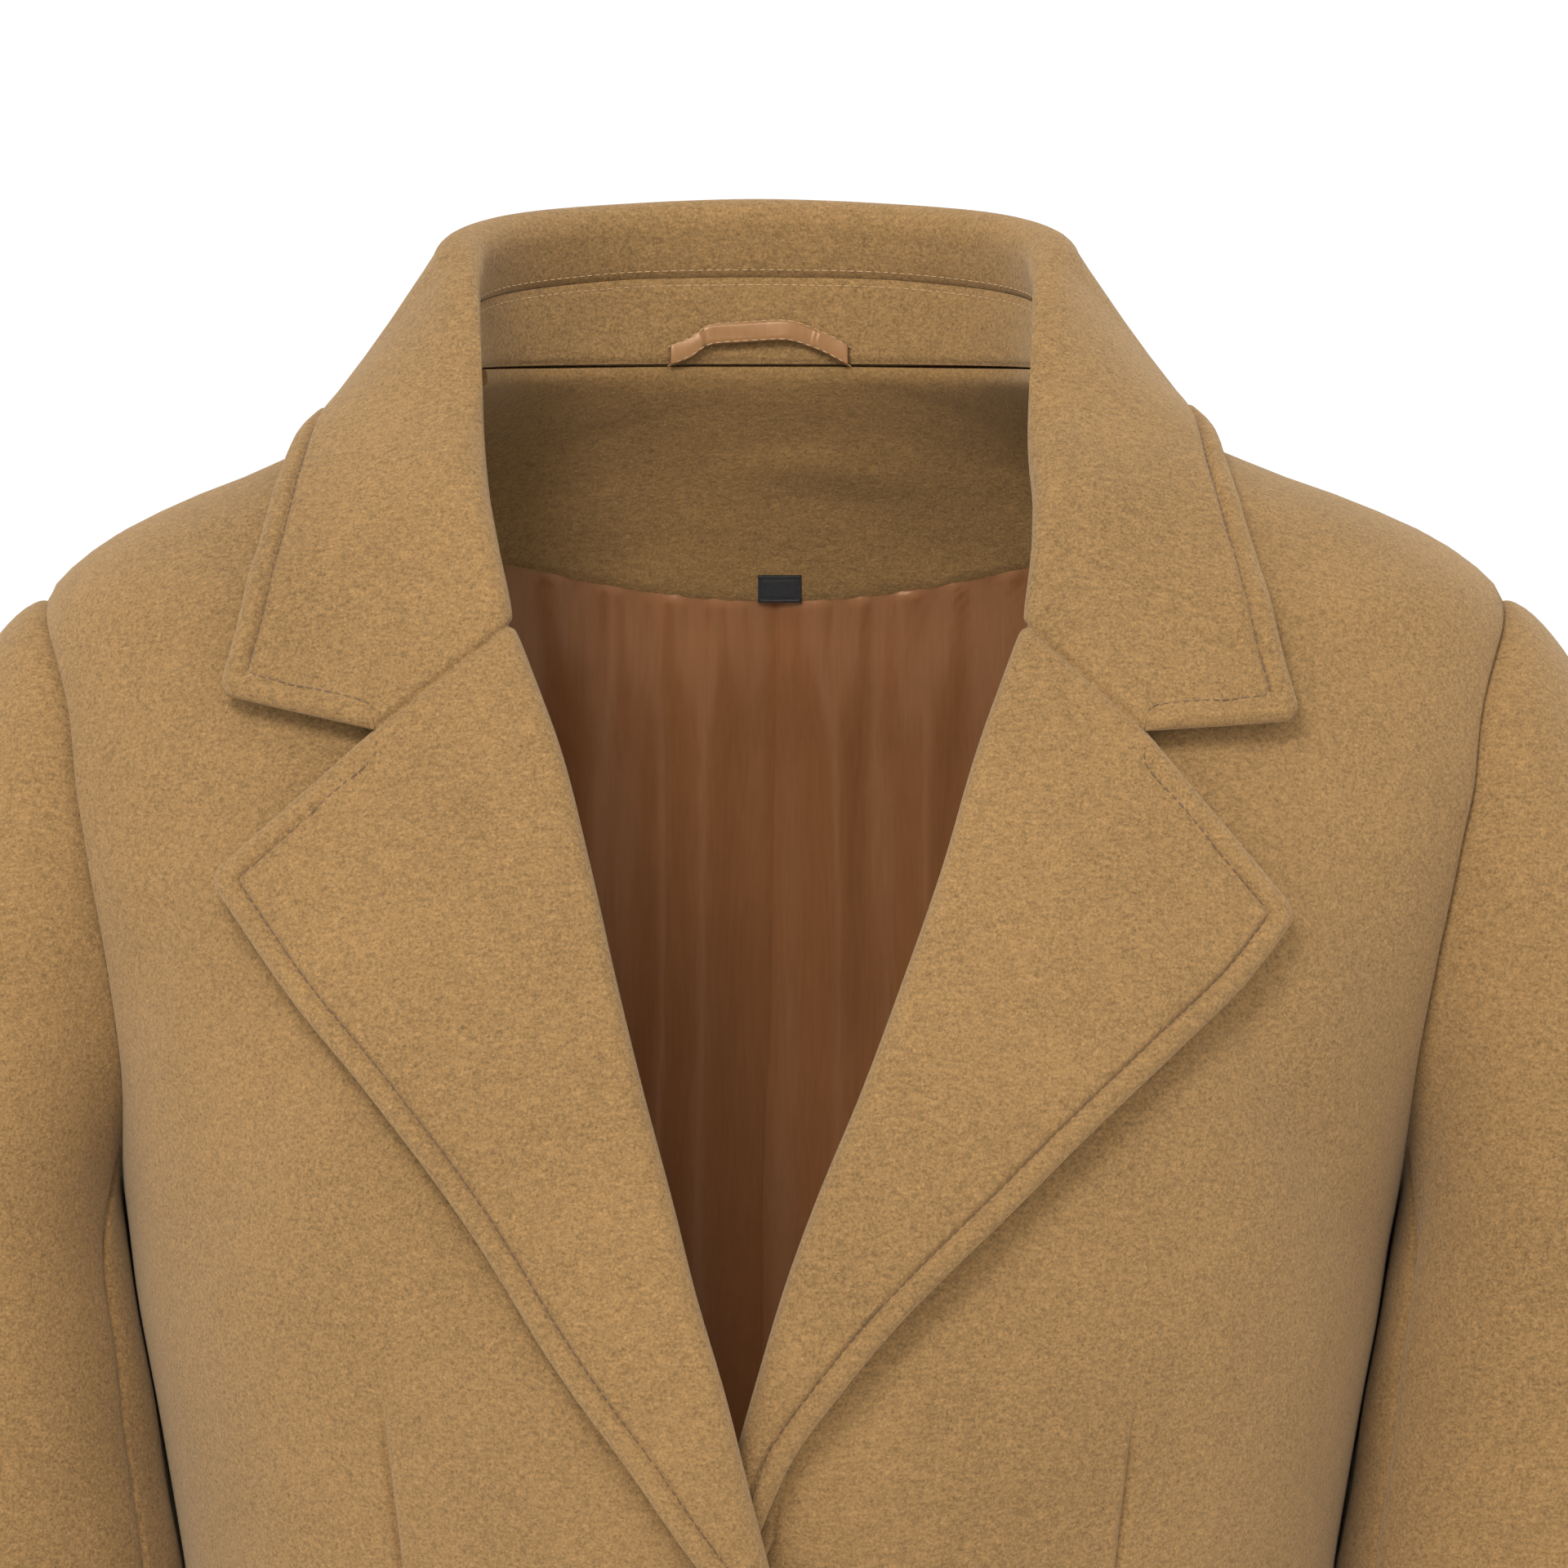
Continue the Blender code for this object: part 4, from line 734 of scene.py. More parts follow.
def frontPanel(which):
    side = sides[which]
    rows, heights = [], fineHeights(-0.004)
    even = np.linspace(0, 1, 81)
    for z in heights:
        inner = float(frontAngle(innerEdge(which, z), z))
        angles, run = bodyRun(z, outerAngle(z, 1), inner)
        length, plain = run[-1], panels["plainShare"]
        probe = np.interp(even * length, run, angles)
        share = np.interp(float(frontAngle(dartAt["across"](z), z)), probe, even)
        dart = length * float(plain + (share - plain) * smoothstep(-0.09, -0.20, z))
        toDart = spread(dart, panels["columnsToDart"], seamSteps, dartSteps)
        beyond = spread(length - dart, panels["columnsBeyondDart"], dartSteps, edgeSteps)
        places = np.concatenate([toDart, dart + beyond[1:]])
        rows.append(bodyPoint(np.interp(places, run, angles), z))
    grid = np.array(rows)
    grid[..., 1] -= lapLift(side, grid[..., 0], grid[..., 2])
    grid = place(grid, side)
    normals = facing(grid, grid - coatMiddle)
    z = grid[..., 2]
    fromDart = reachFrom(grid, grid[::3, len(toDart) - 1])
    shown = smoothstep(*panels["dartTop"], z) * (1 - smoothstep(*panels["dartFoot"], z))
    sink = bodyFolds(grid, -1) + softCreases(grid, frontCreases)
    sink += dartAt["depth"](z) * bump(fromDart, 0, edging["dartHollow"])
    sink += edging["dartSeam"] * shown * bump(fromDart, 0, edging["dartWidth"])
    sink *= smoothstep(0.0, panels["seamCalm"], reachFrom(grid, grid[::3, 0]))
    grid = grid - normals * sink[..., None]
    hem = reachFrom(grid, grid[-1])
    free = reachFrom(grid, grid[:, -1][grid[:, -1, 2] < lapelEnd[which] - 0.004])
    relief = edgeRelief(free) + hemRelief(hem, panels["hem"])
    rounding = roundness(np.minimum(hem, free), woolWall / 2)
    sunk = sunkSeam(grid, heights, 1, side, 0)
    piece = clothWall(f"front_{which}_cloth", grid, normals, woolWall, relief, rounding, sunk)
    low = grid[:, :, 2] < lapelEnd[which] - 0.004
    stitched = grid + normals * (0.0001 - edging["channel"])
    return piece, contour(stitched, np.where(low, free, 1.0), edging["stitch"])


def backPanel():
    rows, heights = [], fineHeights(0.0)
    for z in heights:
        angles, run = bodyRun(z, outerAngle(z, -1), -np.pi / 2)
        places = spread(run[-1], panels["backColumns"] // 2, seamSteps, (0.0,))
        half = bodyPoint(np.interp(places, run, angles), z)
        rows.append(np.concatenate([place(half, -1), place(half, 1)[-2::-1]]))
    grid = np.array(rows)
    normals = facing(grid, grid - coatMiddle)
    sink = bodyFolds(grid, 1) + softCreases(grid, backCreases)
    ends = nearest(grid, (grid[::3, 0], grid[::3, -1]))
    grid = grid - normals * (sink * smoothstep(0.0, panels["seamCalm"], ends))[..., None]
    hem = reachFrom(grid, grid[-1])
    sunk = sunkSeam(grid, heights, -1, -1, 0) + sunkSeam(grid, heights, -1, 1, -1)
    relief, rounding = hemRelief(hem, panels["hem"]), roundness(hem, woolWall / 2)
    return clothWall("back_cloth", grid, normals, woolWall, relief, rounding, sunk)


# Lapels and collar

turnedCloth = {
    "lapelRows": 78,
    "lapelColumns": 22,
    "collarRows": 62,
    "fallColumns": 24,
    "insideColumns": 8,  # of the collar, from its seam with the stand to the roll
    "cornerRadius": 0.0055,
    "turnDegrees": 15,
    "notchShare": 0.45,  # of the flat run, where the column of the notch lies
    "notchFade": 0.11,  # of the lapel's length, where its rows stop bending to the notch
    "meetsFold": 0.70,  # shares of the collar's length, from which it takes the lapel's turn,
    "liesFlat": 0.80,  # lies on the front,
    "meetsCorner": 0.60,  # and is drawn to its corner
    "centreSmoothing": 30,
}


def rollSection(fold, away, ahead, radius, tail):
    # middle of the cloth round a turn, from the flat tail behind to the layer in front
    apex = fold + away * doubleWall / 2
    turns = np.radians(np.arange(-90, 91, turnedCloth["turnDegrees"]))[:, None]
    around = apex + away * radius * (1 - np.cos(turns)) + ahead * radius * np.sin(turns)
    back = [around[0] + tail * share for share in (1.0, 0.75, 0.5, 0.25)]
    return np.concatenate([back, around])


def lyingStops(length, columns):
    # shares of the flat run, with one stop at the notch's share and more near the free edge
    part, first = turnedCloth["notchShare"], int(columns * 0.4)
    near = spread(part * length, first, (0.0, 0.003), (0.0, 0.0012, 0.003))
    far = spread((1 - part) * length, columns - first, (0.0, 0.0012, 0.003), edgeSteps)
    return np.concatenate([near, part * length + far[1:]])[1:, None] / length


def lapelSection(which, fold, end, notch, bent):
    side, part = sides[which], turnedCloth["notchShare"]
    aim = fold + unit(end - fold) * (1 - bent) + unit(notch - fold) * bent
    turn, _ = frontTurn(which, fold, aim)
    rise = float(lapelRiseAt[which](fold[1]))
    first = turn[-1][[0, 2]]
    reach = lyingStops(float(np.linalg.norm(end - first)), turnedCloth["lapelColumns"])
    off = (notch - (first + (end - first) * part)) * bent
    hump = np.where(reach < part, reach / part, (1 - reach) / (1 - part))
    flat = first + (end - first) * reach + off * hump
    lying = stack(flat[:, 0], layerY(side, flat[:, 0], flat[:, 1], rise), flat[:, 1])
    return np.concatenate([turn, lying])


def roundCorner(grid, row, nextRow):
    # takes the square corner at the end of a row to a quarter round
    corner, radius = grid[row, -1].copy(), turnedCloth["cornerRadius"]
    first, second = unit(grid[nextRow, -1] - corner), unit(grid[row, -9] - corner)
    solve = np.linalg.pinv(np.stack([first, second], axis=1))
    spot = (grid - corner) @ solve.T
    near = (spot[..., 0] < radius) & (spot[..., 1] < radius)
    u, v = [1 - np.clip(spot[..., i] / radius, 0, 1) for i in (0, 1)]
    moveU = u * (np.sqrt(1 - v * v / 2) - 1)
    moveV = v * (np.sqrt(1 - u * u / 2) - 1)
    shift = -(moveU[..., None] * first + moveV[..., None] * second) * radius
    reach = np.linalg.norm(grid - corner, axis=-1) < radius * 2.5
    return grid + shift * (near & reach)[..., None]


def turnedWall(name, middle, normals, free, ends, seams):
    # double cloth round its middle, with rounded, stitched free edges and sunk seams;
    # ends are the rows that are a free edge only beyond a column, the notch
    half = doubleWall / 2
    fields = [reachFrom(middle, line) for line in free]
    for row, column in ends:
        field = reachFrom(middle, middle[row, column:])
        field[:, :column] = 1.0
        fields.append(field)
    distance = np.min(fields, axis=0)
    rounding, relief = roundness(distance, half), edgeRelief(distance)
    for line in seams:
        relief = relief + seamRelief(reachFrom(middle, line), edging["gorgeSeam"])
    outer = middle + normals * (half * rounding + relief * rounding)[..., None]
    inner = middle - normals * (half * rounding)[..., None]
    return closedMesh(name, outer, inner), outer, distance


def lapelCloth(which):
    side = sides[which]
    notch = gorge(which)[1]
    length = gorgeTop - lapelEnd[which]
    rows = []
    for share in spread(length, turnedCloth["lapelRows"], edgeSteps, edgeSteps[:8]) / length:
        z = gorgeTop + (lapelEnd[which] - gorgeTop) * share
        start = np.array([side * float(rollAt[which](z)), z])
        end = [side * float(lapelEdgeAt[which](share)), float(lapelEdgeAt[which + "Z"](share))]
        bent = 1.0 if share == 0 else float(1 - smoothstep(0.0, turnedCloth["notchFade"], share))
        rows.append(lapelSection(which, start, np.array(end), notch, bent))
    middle = roundCorner(np.array(rows), 0, 9)
    normals = facing(middle, (0, -1, 0), slice(-20, None))
    fromNotch = np.linalg.norm(middle[0][:, [0, 2]] - notch, axis=1)
    column = int(np.argmin(fromNotch))
    free, seams = [middle[:, -1], middle[-1, -6:]], [middle[0, : column + 1]]
    name = f"lapel_{which}_cloth"
    piece, outer, distance = turnedWall(name, middle, normals, free, [(0, column)], seams)
    turnEnd = middle.shape[1] - len(edgeSteps) - turnedCloth["lapelColumns"] - 1
    distance[:, : turnEnd + 2] = 1.0
    return piece, contour(outer, distance, edging["stitch"])


def collarShares():
    return spread(0.30, turnedCloth["collarRows"], (0.0,), edgeSteps) / 0.30


def collarSection(share, which, lastEdge):
    side, part = sides[which], turnedCloth["notchShare"]
    fold, notch, _ = gorge(which)
    near = float(smoothstep(turnedCloth["meetsFold"], 1.0, share))
    lying = float(smoothstep(turnedCloth["liesFlat"], 1.0, share))
    neck, edge = neckPoint(share, which), collarEdge(share, which, lastEdge)
    roll = tablePoint("roll", share, side)
    away = unit(unit(edge - roll) + unit(neck - roll))
    ahead = unit(edge - roll) - unit(neck - roll)
    turn, flat = frontTurn(which, fold, notch)
    gorgeAway = np.array([flat[0], 0.0, flat[1]])
    away = unit(away * (1 - near) + gorgeAway * near)
    ahead = unit(ahead) * (1 - near) + np.array([0.0, -1.0, 0.0]) * near
    ahead = unit(ahead - away * np.dot(ahead, away))
    apex = turn[4 + len(turn[4:]) // 2]
    roll = roll + (apex - gorgeAway * doubleWall / 2 - tablePoint("roll", 1.0, side)) * near
    radius = rollRadius + collarRounder * (1 - near)
    section = turn if share >= 1 else rollSection(roll, away, ahead, radius, away * rollTail)
    begin = neck + (roll - neck) * float(collarAt["seam"](share))
    if share >= standEnd:
        begin = section[0] * near + (begin + unit(roll - neck) * 0.001) * (1 - near)
    steps = np.linspace(0, 1, turnedCloth["insideColumns"] + 1)[:-1, None]
    inside = begin + (section[4] - begin) * steps
    rise = float(lapelRiseAt[which](roll[2]))
    start = section[-1]
    reach = lyingStops(float(np.linalg.norm(edge - start)), turnedCloth["fallColumns"])
    bend = np.array([notch[0], float(layerY(side, notch[0], notch[1], rise)), notch[1]])
    toBend = start + (bend - start) * reach / part
    fromBend = bend + (edge - bend) * (reach - part) / (1 - part)
    bent = np.where(reach < part, toBend, fromBend)
    points = (start + (edge - start) * reach) * (1 - lying) + bent * lying
    if share < 1:
        points = overBody(points, side)
    onFront = layerY(side, points[:, 0], points[:, 2], rise)
    points[:, 1] = points[:, 1] * (1 - lying) + onFront * lying
    return np.concatenate([inside, section[4:], points])


def collarEdge(share, which, lastEdge):
    side = sides[which]
    x, z = gorge(which)[2]
    rise = float(lapelRiseAt[which](gorgeTop))
    corner = np.array([x, float(layerY(side, x, z, rise)), z])
    if share >= 1:
        return corner
    edge = overBody(tablePoint("edge", share, side), side, settle=share > 0.40)
    drawn = float(smoothstep(turnedCloth["meetsCorner"], 1.0, share))
    return edge + (corner - lastEdge) * drawn


def collarCloth():
    halves = []
    for which, side in sides.items():
        lastEdge = overBody(tablePoint("edge", 1.0, side), side, settle=True)
        halves.append([collarSection(float(share), which, lastEdge) for share in collarShares()])
    middle = np.array(halves[0][::-1] + halves[1][1:])
    centre = len(middle) // 2
    for _ in range(turnedCloth["centreSmoothing"]):
        near = middle[centre - 7 : centre + 8]
        middle[centre - 6 : centre + 7] = (near[:-2] + 2 * near[1:-1] + near[2:]) / 4
    seamLine = middle[:, 0].copy()
    for row, nextRow in ((0, 9), (-1, -10)):
        middle = roundCorner(middle, row, nextRow)
    outward = (middle - (0, -0.07, 0)) * (1, 1, 0)
    normals = facing(middle, outward, slice(-20, None))
    ends, seams = [], [middle[:, 0]]
    for row, which in ((0, "right"), (-1, "left")):
        fromNotch = np.linalg.norm(middle[row][:, [0, 2]] - gorge(which)[1], axis=1)
        column = 25 + int(np.argmin(fromNotch[25:]))  # beyond the turn
        ends.append((row, column))
        seams.append(middle[row, : column + 1])
    free = [middle[:, -1]]
    piece, outer, distance = turnedWall("collar_cloth", middle, normals, free, ends, seams)
    distance[:, :26] = 1.0
    return piece, contour(outer, distance, edging["stitch"]), outer, seamLine


def standCloth(seamLine):
    # strip between the neck seam and the collar's inner edge
    shares = collarShares()
    centre, reach = len(seamLine) // 2, int(np.sum(shares < standEnd)) - 1
    rows = []
    for row in range(-reach, reach + 1):
        neck = neckPoint(float(shares[abs(row)]), "left" if row > 0 else "right")
        seam = seamLine[centre + row]
        length = float(np.linalg.norm(seam - neck))
        steps = spread(length, 12, seamSteps, seamSteps) / length
        rows.append(neck + (seam - neck) * steps[:, None])
    middle = np.array(rows)
    normals = facing(middle, ((0, -0.065, 0.02) - middle) * (1, 1, 0))
    seam, low = reachFrom(middle, middle[:, -1]), reachFrom(middle, middle[:, 0])
    relief = seamRelief(seam, edging["standSeam"]) + seamRelief(low, edging["neckSeam"])
    relief = relief - 0.00035 * bump(seam, 0.0024, 0.0007)
    half = doubleWall / 2
    outer = middle + normals * (half + relief)[..., None]
    piece = closedMesh("collar_stand_cloth", outer, middle - normals * half)
    return piece, outer, normals, reach


# Sleeves

sleeves = {
    "capRows": 26,
    "lowRows": 62,
    "topColumns": 56,
    "underColumns": 18,
    "seams": (36, 306),  # where they run round the arm, in degrees
    "armRadius": 0.062,
    "leanWithin": 0.007,  # a sleeve this near to the body is drawn on to it
    "hem": 0.032,
}
# columns: angle, z, reach along, reach across, tilt in degrees, depth (below zero a ridge)
sleeveCreases = (
    (35, -0.300, 0.030, 0.0090, 40, 0.0016),
    (60, -0.305, 0.034, 0.0080, 58, 0.0020),
    (48, -0.420, 0.030, 0.0080, 64, 0.0020),
    (92, -0.350, 0.034, 0.0090, 50, 0.0016),
    (130, -0.520, 0.045, 0.0110, 12, 0.0018),
    (70, -0.560, 0.036, 0.0100, 30, -0.0012),
    (300, -0.330, 0.034, 0.0090, -44, 0.0022),
    (280, -0.425, 0.034, 0.0085, -58, 0.0024),
    (255, -0.500, 0.040, 0.0100, -24, 0.0018),
    (215, -0.590, 0.036, 0.0110, 8, 0.0014),
    (165, -0.135, 0.026, 0.0080, 6, 0.0008),
    (195, -0.150, 0.028, 0.0085, -8, 0.0009),
)
capTimes = (0, 0.002, 0.005, 0.009, 0.014, 0.021, 0.032, 0.048)  # rows close to the armhole


def sleeveTurns(name):
    first, last = sleeves["seams"]
    if name == "under":
        first, last = last - 360, first
    arc = np.radians(last - first) * sleeves["armRadius"]
    steps = spread(arc, sleeves[name + "Columns"], seamSteps, seamSteps)
    return np.radians(first) + steps / sleeves["armRadius"]


def leanOn(grid, clearance):
    # clear of the body, and drawn closer to it where it almost touches
    near = clearOfBody(grid, clearance)
    gap, away = bodyGap(near)
    over = np.maximum(gap - clearance, 0)
    within = sleeves["leanWithin"]
    closer = np.where(over < within, over**1.7 / within**0.7, over)
    return near + away * (closer - over)[..., None]


def sleeveCloth(which, name):
    turns = sleeveTurns(name)
    mirror = (sides[which], 1, 1)
    angle, z = armhole((turns + np.pi) % (2 * np.pi) - np.pi)
    topZ, cuff = sleeveTable[0][0], sleeveTable[-1][0]
    start, end = bodyPoint(angle, z), sleeveRing(turns, topZ)
    slope = unit(end - sleeveRing(turns, topZ - 0.02))
    height = np.linalg.norm(end - start, axis=1, keepdims=True)
    high = (1 - np.cos(turns)) / 2
    out = stack(0.15 + 0.85 * high**0.5, -0.5 * np.sin(turns), 0.05 * high - (1 - high) ** 2)
    up = high[:, None]
    first = start + unit(out) * (capStart * up + 0.12 * height * (1 - up))
    second = end + slope * height * (capLean * up + 0.35 * (1 - up))
    times = np.concatenate([capTimes, np.linspace(0.07, 1, sleeves["capRows"])[:-1]])
    rings = []
    for t in times:
        near = start * (1 - t) ** 3 + first * 3 * t * (1 - t) ** 2
        rings.append(near + second * 3 * t**2 * (1 - t) + end * t**3)
    lows = np.linspace(topZ, cuff + 0.006, sleeves["lowRows"])
    lows = np.concatenate([lows, cuff + np.array(hemSteps)])
    grid = np.array(rings + [sleeveRing(turns, low) for low in lows])
    times = np.concatenate([times, np.ones(len(lows))])
    clearance = sleeveClearance * np.minimum(0.15 + 3 * times, 1.0)
    resting = (grid[..., 0] < 0.20) & (grid[..., 2] < -0.16) & (times[:, None] > 0)
    grid = np.where(resting[..., None], leanOn(grid, clearance[:, None]), grid)
    normals = facing(grid, stack(-np.cos(turns), -np.sin(turns), 0 * turns)[None])
    around = np.degrees(turns)[None, :] % 360
    sink = np.zeros(grid.shape[:2])
    for foldAngle, foldZ, along, across, tilt, deep in sleeveFolds + sleeveCreases:
        sideways = np.radians((around - foldAngle + 180) % 360 - 180) * 0.06
        sink += foldDepth(grid[..., 2] - foldZ, sideways, along, across, tilt, deep)
    sink *= smoothstep(0, 0.39, times)[:, None]
    grid = (grid - normals * sink[..., None]) * mirror
    grid[..., 0] += bodyAt["sway"](np.maximum(grid[..., 2], -0.345))
    normals = normals * mirror
    hem = reachFrom(grid, grid[-1])
    depth = seamRelief(reachFrom(grid, grid[0]), edging["armholeSeam"])
    sunk = depth[..., None] * bodyNormal(angle, z) * mirror
    relief = hemRelief(hem, sleeves["hem"])
    for column in (0, -1):
        relief = relief + seamRelief(reachFrom(grid, grid[:, column]), edging["sideSeam"])
    rounding = roundness(hem, woolWall / 2)
    name = f"sleeve_{name}_{which}_cloth"
    return clothWall(name, grid, normals, woolWall, relief, rounding, sunk)


# Inside the back

inside = {
    "edgeLevel": -0.055,  # height at which the facing's lower edge is set out
    "facingTop": 0.0016,  # over the neck seam, and what is added at its sides
    "facingSideTop": 0.0016,
    "topTuck": 0.0007,
    "facingSeam": 0.0007,  # at its lower edge, and at the neck
    "facingNeckSeam": 0.0006,
    "gatherShare": 0.22,  # of the solid's plain gathers
    "backSeam": 0.0011,
    "sideRoom": 0.0096,  # between the lining and the side seam
}
# columns: x, z, reach along, reach across, tilt in degrees, depth (below zero a ridge)
facingCreases = (
    (-0.058, -0.030, 0.034, 0.0060, 68, 0.0022),
    (-0.020, -0.022, 0.040, 0.0070, 84, 0.0014),
    (0.018, -0.030, 0.030, 0.0055, 99, -0.0012),
    (0.052, -0.018, 0.030, 0.0065, 110, 0.0016),
    (-0.038, -0.050, 0.024, 0.0080, 40, 0.0010),
    (0.040, -0.052, 0.026, 0.0080, 130, 0.0010),
)
pleats = {  # fine gathers under the facing: place across, width, depth, how far they run down
    "right": (
        (0.0115, 0.0016, 0.0010, 0.020),
        (0.0175, 0.0018, 0.0013, 0.034),
        (0.0300, 0.0020, 0.0014, 0.028),
        (0.0355, 0.0014, 0.0009, 0.016),
        (0.0490, 0.0022, 0.0014, 0.040),
        (0.0660, 0.0020, 0.0012, 0.024),
    ),
    "left": (
        (0.0085, 0.0014, 0.0012, 0.030),
        (0.0130, 0.0015, 0.0014, 0.042),
        (0.0250, 0.0016, 0.0015, 0.030),
        (0.0375, 0.0018, 0.0015, 0.048),
        (0.0415, 0.0013, 0.0010, 0.020),
        (0.0530, 0.0018, 0.0014, 0.034),
        (0.0700, 0.0022, 0.0013, 0.030),
    ),
}
waves = {  # broad soft folds: place across, width, depth, drop where deepest, lean
    "right": (
        (0.022, 0.0095, 0.0040, 0.16, -0.03),
        (0.052, 0.0120, 0.0050, 0.22, -0.02),
        (0.092, 0.0150, 0.0045, 0.34, 0.0),
    ),
    "left": (
        (0.016, 0.0080, 0.0036, 0.12, 0.05),
        (0.044, 0.0110, 0.0050, 0.20, 0.04),
        (0.078, 0.0150, 0.0048, 0.30, 0.01),
    ),
}


def facingCloth():
    rows = []
    angles = np.radians(np.linspace(-14, -166, 90))
    low = facingEdge(np.abs(bodyPoint(angles, inside["edgeLevel"])[:, 0]))
    top = inside["facingTop"] + inside["facingSideTop"] * np.cos(angles) ** 2
    for share in np.linspace(0, 1, 40):
        z = top + (low - top) * share
        level = np.minimum(z, 0.0)
        point = bodyPoint(angles, level)
        point[:, 2] = z
        inset = woolWall + facingGap - inside["topTuck"] * smoothstep(-0.004, 0.0018, z)
        rows.append(point - bodyNormal(angles, np.minimum(level, -0.001)) * inset[:, None])
    grid = np.array(rows)
    grid[..., 0] += bodyAt["sway"](np.minimum(grid[..., 2], 0))
    normals = facing(grid, (0, -0.09, -0.1) - grid)
    grid = grid + normals * bodyFolds(grid, 1)[..., None]
    low, top = reachFrom(grid, grid[-1]), reachFrom(grid, grid[0])
    lift = np.maximum(-softCreases(grid, facingCreases), -0.0006)
    lift = lift * smoothstep(0, 0.010, low) * smoothstep(0, 0.008, top)
    seams = seamRelief(low, inside["facingSeam"]) + seamRelief(top, inside["facingNeckSeam"])
    visible = grid + normals * (facingWall + lift + seams)[..., None]
    return closedMesh("back_neck_facing_cloth", visible, grid)


def liningFolds(which, x, drop):
    depth = np.zeros_like(x)
    fading = inside["gatherShare"] * (1 - 0.35 * smoothstep(0.2, 0.6, drop))
    for middle, width, top, low in gathers[which]:
        amount = inside["gatherShare"] * top + (low - top) * smoothstep(0.0, 0.09, drop) * fading
        depth += amount * bump(x, middle, width * (1 + 0.9 * smoothstep(0.0, 0.5, drop)))
    for middle, width, deep, run in pleats[which]:
        fall = np.exp(-((drop / run) ** 2)) * smoothstep(-0.0005, 0.002, drop)
        depth += deep * fall * bump(x, middle, width * (1 + drop / run))
    for middle, width, deep, peak, lean in waves[which]:
        fall = smoothstep(0.0, 0.05, drop) * (0.55 + 0.45 * bump(drop, peak, 0.16))
        depth += deep * fall * bump(x, middle + lean * drop, width * (1 + drop))
    return depth


def liningCloth(which):
    rows = []
    drops = np.linspace(0.01, 1, 84) ** 1.15
    drops = np.unique(np.concatenate([[0, 0.001, 0.0022, 0.004, 0.0065], drops]))
    across = np.linspace(0, 1, 120) ** 1.18
    for drop in drops:
        angle = np.full(across.shape, -np.pi / 2)
        for _ in range(4):  # the places across and the facing's edge settle together
            top = facingEdge(np.abs(bodyPoint(angle, inside["edgeLevel"])[:, 0]))
            z = top + (liningHem - top) * drop
            limit = np.interp(z, reachHeights, outerAngles[-1])
            start = limit - inside["sideRoom"] / bodyAt["backDepth"](z) - 0.05
            angle = -np.pi / 2 + (start + np.pi / 2) * across
        x = np.abs(bodyPoint(angle, z)[:, 0])
        below = facingEdge(np.abs(bodyPoint(angle, inside["edgeLevel"])[:, 0])) - z
        depth = np.maximum(liningFolds(which, x, below), 0)
        depth = depth - 0.5 * inside["backSeam"] * bump(x, 0, 0.0016)
        inset = woolWall + facingGap + depth + liningStandOff * smoothstep(0, 0.03, below)
        rows.append(bodyPoint(angle, z) - bodyNormal(angle, z) * inset[:, None])
    grid = place(np.array(rows), sides[which])
    normals = facing(grid, (0, -0.09, -0.35) - grid)
    grid = grid + normals * bodyFolds(grid, 1)[..., None]
    return closedMesh(f"lining_{which}_satin", grid + normals * liningWall, grid, 60)


# Small things: loop, label, stitches, buttons

loop = {"width": 0.0062, "wall": 0.0012, "gap": 0.0006, "fold": 0.0105}
label = {"centre": 0.0022, "top": -0.0620, "width": 0.0130, "height": 0.0082, "wall": 0.0007}
sewing = {  # spacing, length and radius of each kind of stitch
    "top": (0.0029, 0.0024, 0.00030),
    "fine": (0.0026, 0.0020, 0.00019),
    "button": (0.0031, 0.0038, 0.00045),
    "standRow": 0.0023,  # below the stand's seam
    "collarRow": 0.0030,  # above it
    "seed": 4,
}
horn = {
    "radius": 0.0125,
    "height": 0.0045,
    "eye": 0.62,  # share of the height that is left in the sunk middle
    "hole": 0.0011,
    "holeReach": 0.0026,
    "around": 56,
}
# columns: shares of the radius and of the height, from the middle of the face to the back
hornProfile = (
    (0.30, 0.62),
    (0.52, 0.64),
    (0.62, 0.74),
    (0.70, 0.93),
    (0.78, 1.0),
    (0.86, 1.0),
    (0.93, 0.92),
    (0.98, 0.74),
    (1.0, 0.5),
    (0.985, 0.25),
    (0.93, 0.06),
    (0.86, 0.0),
)


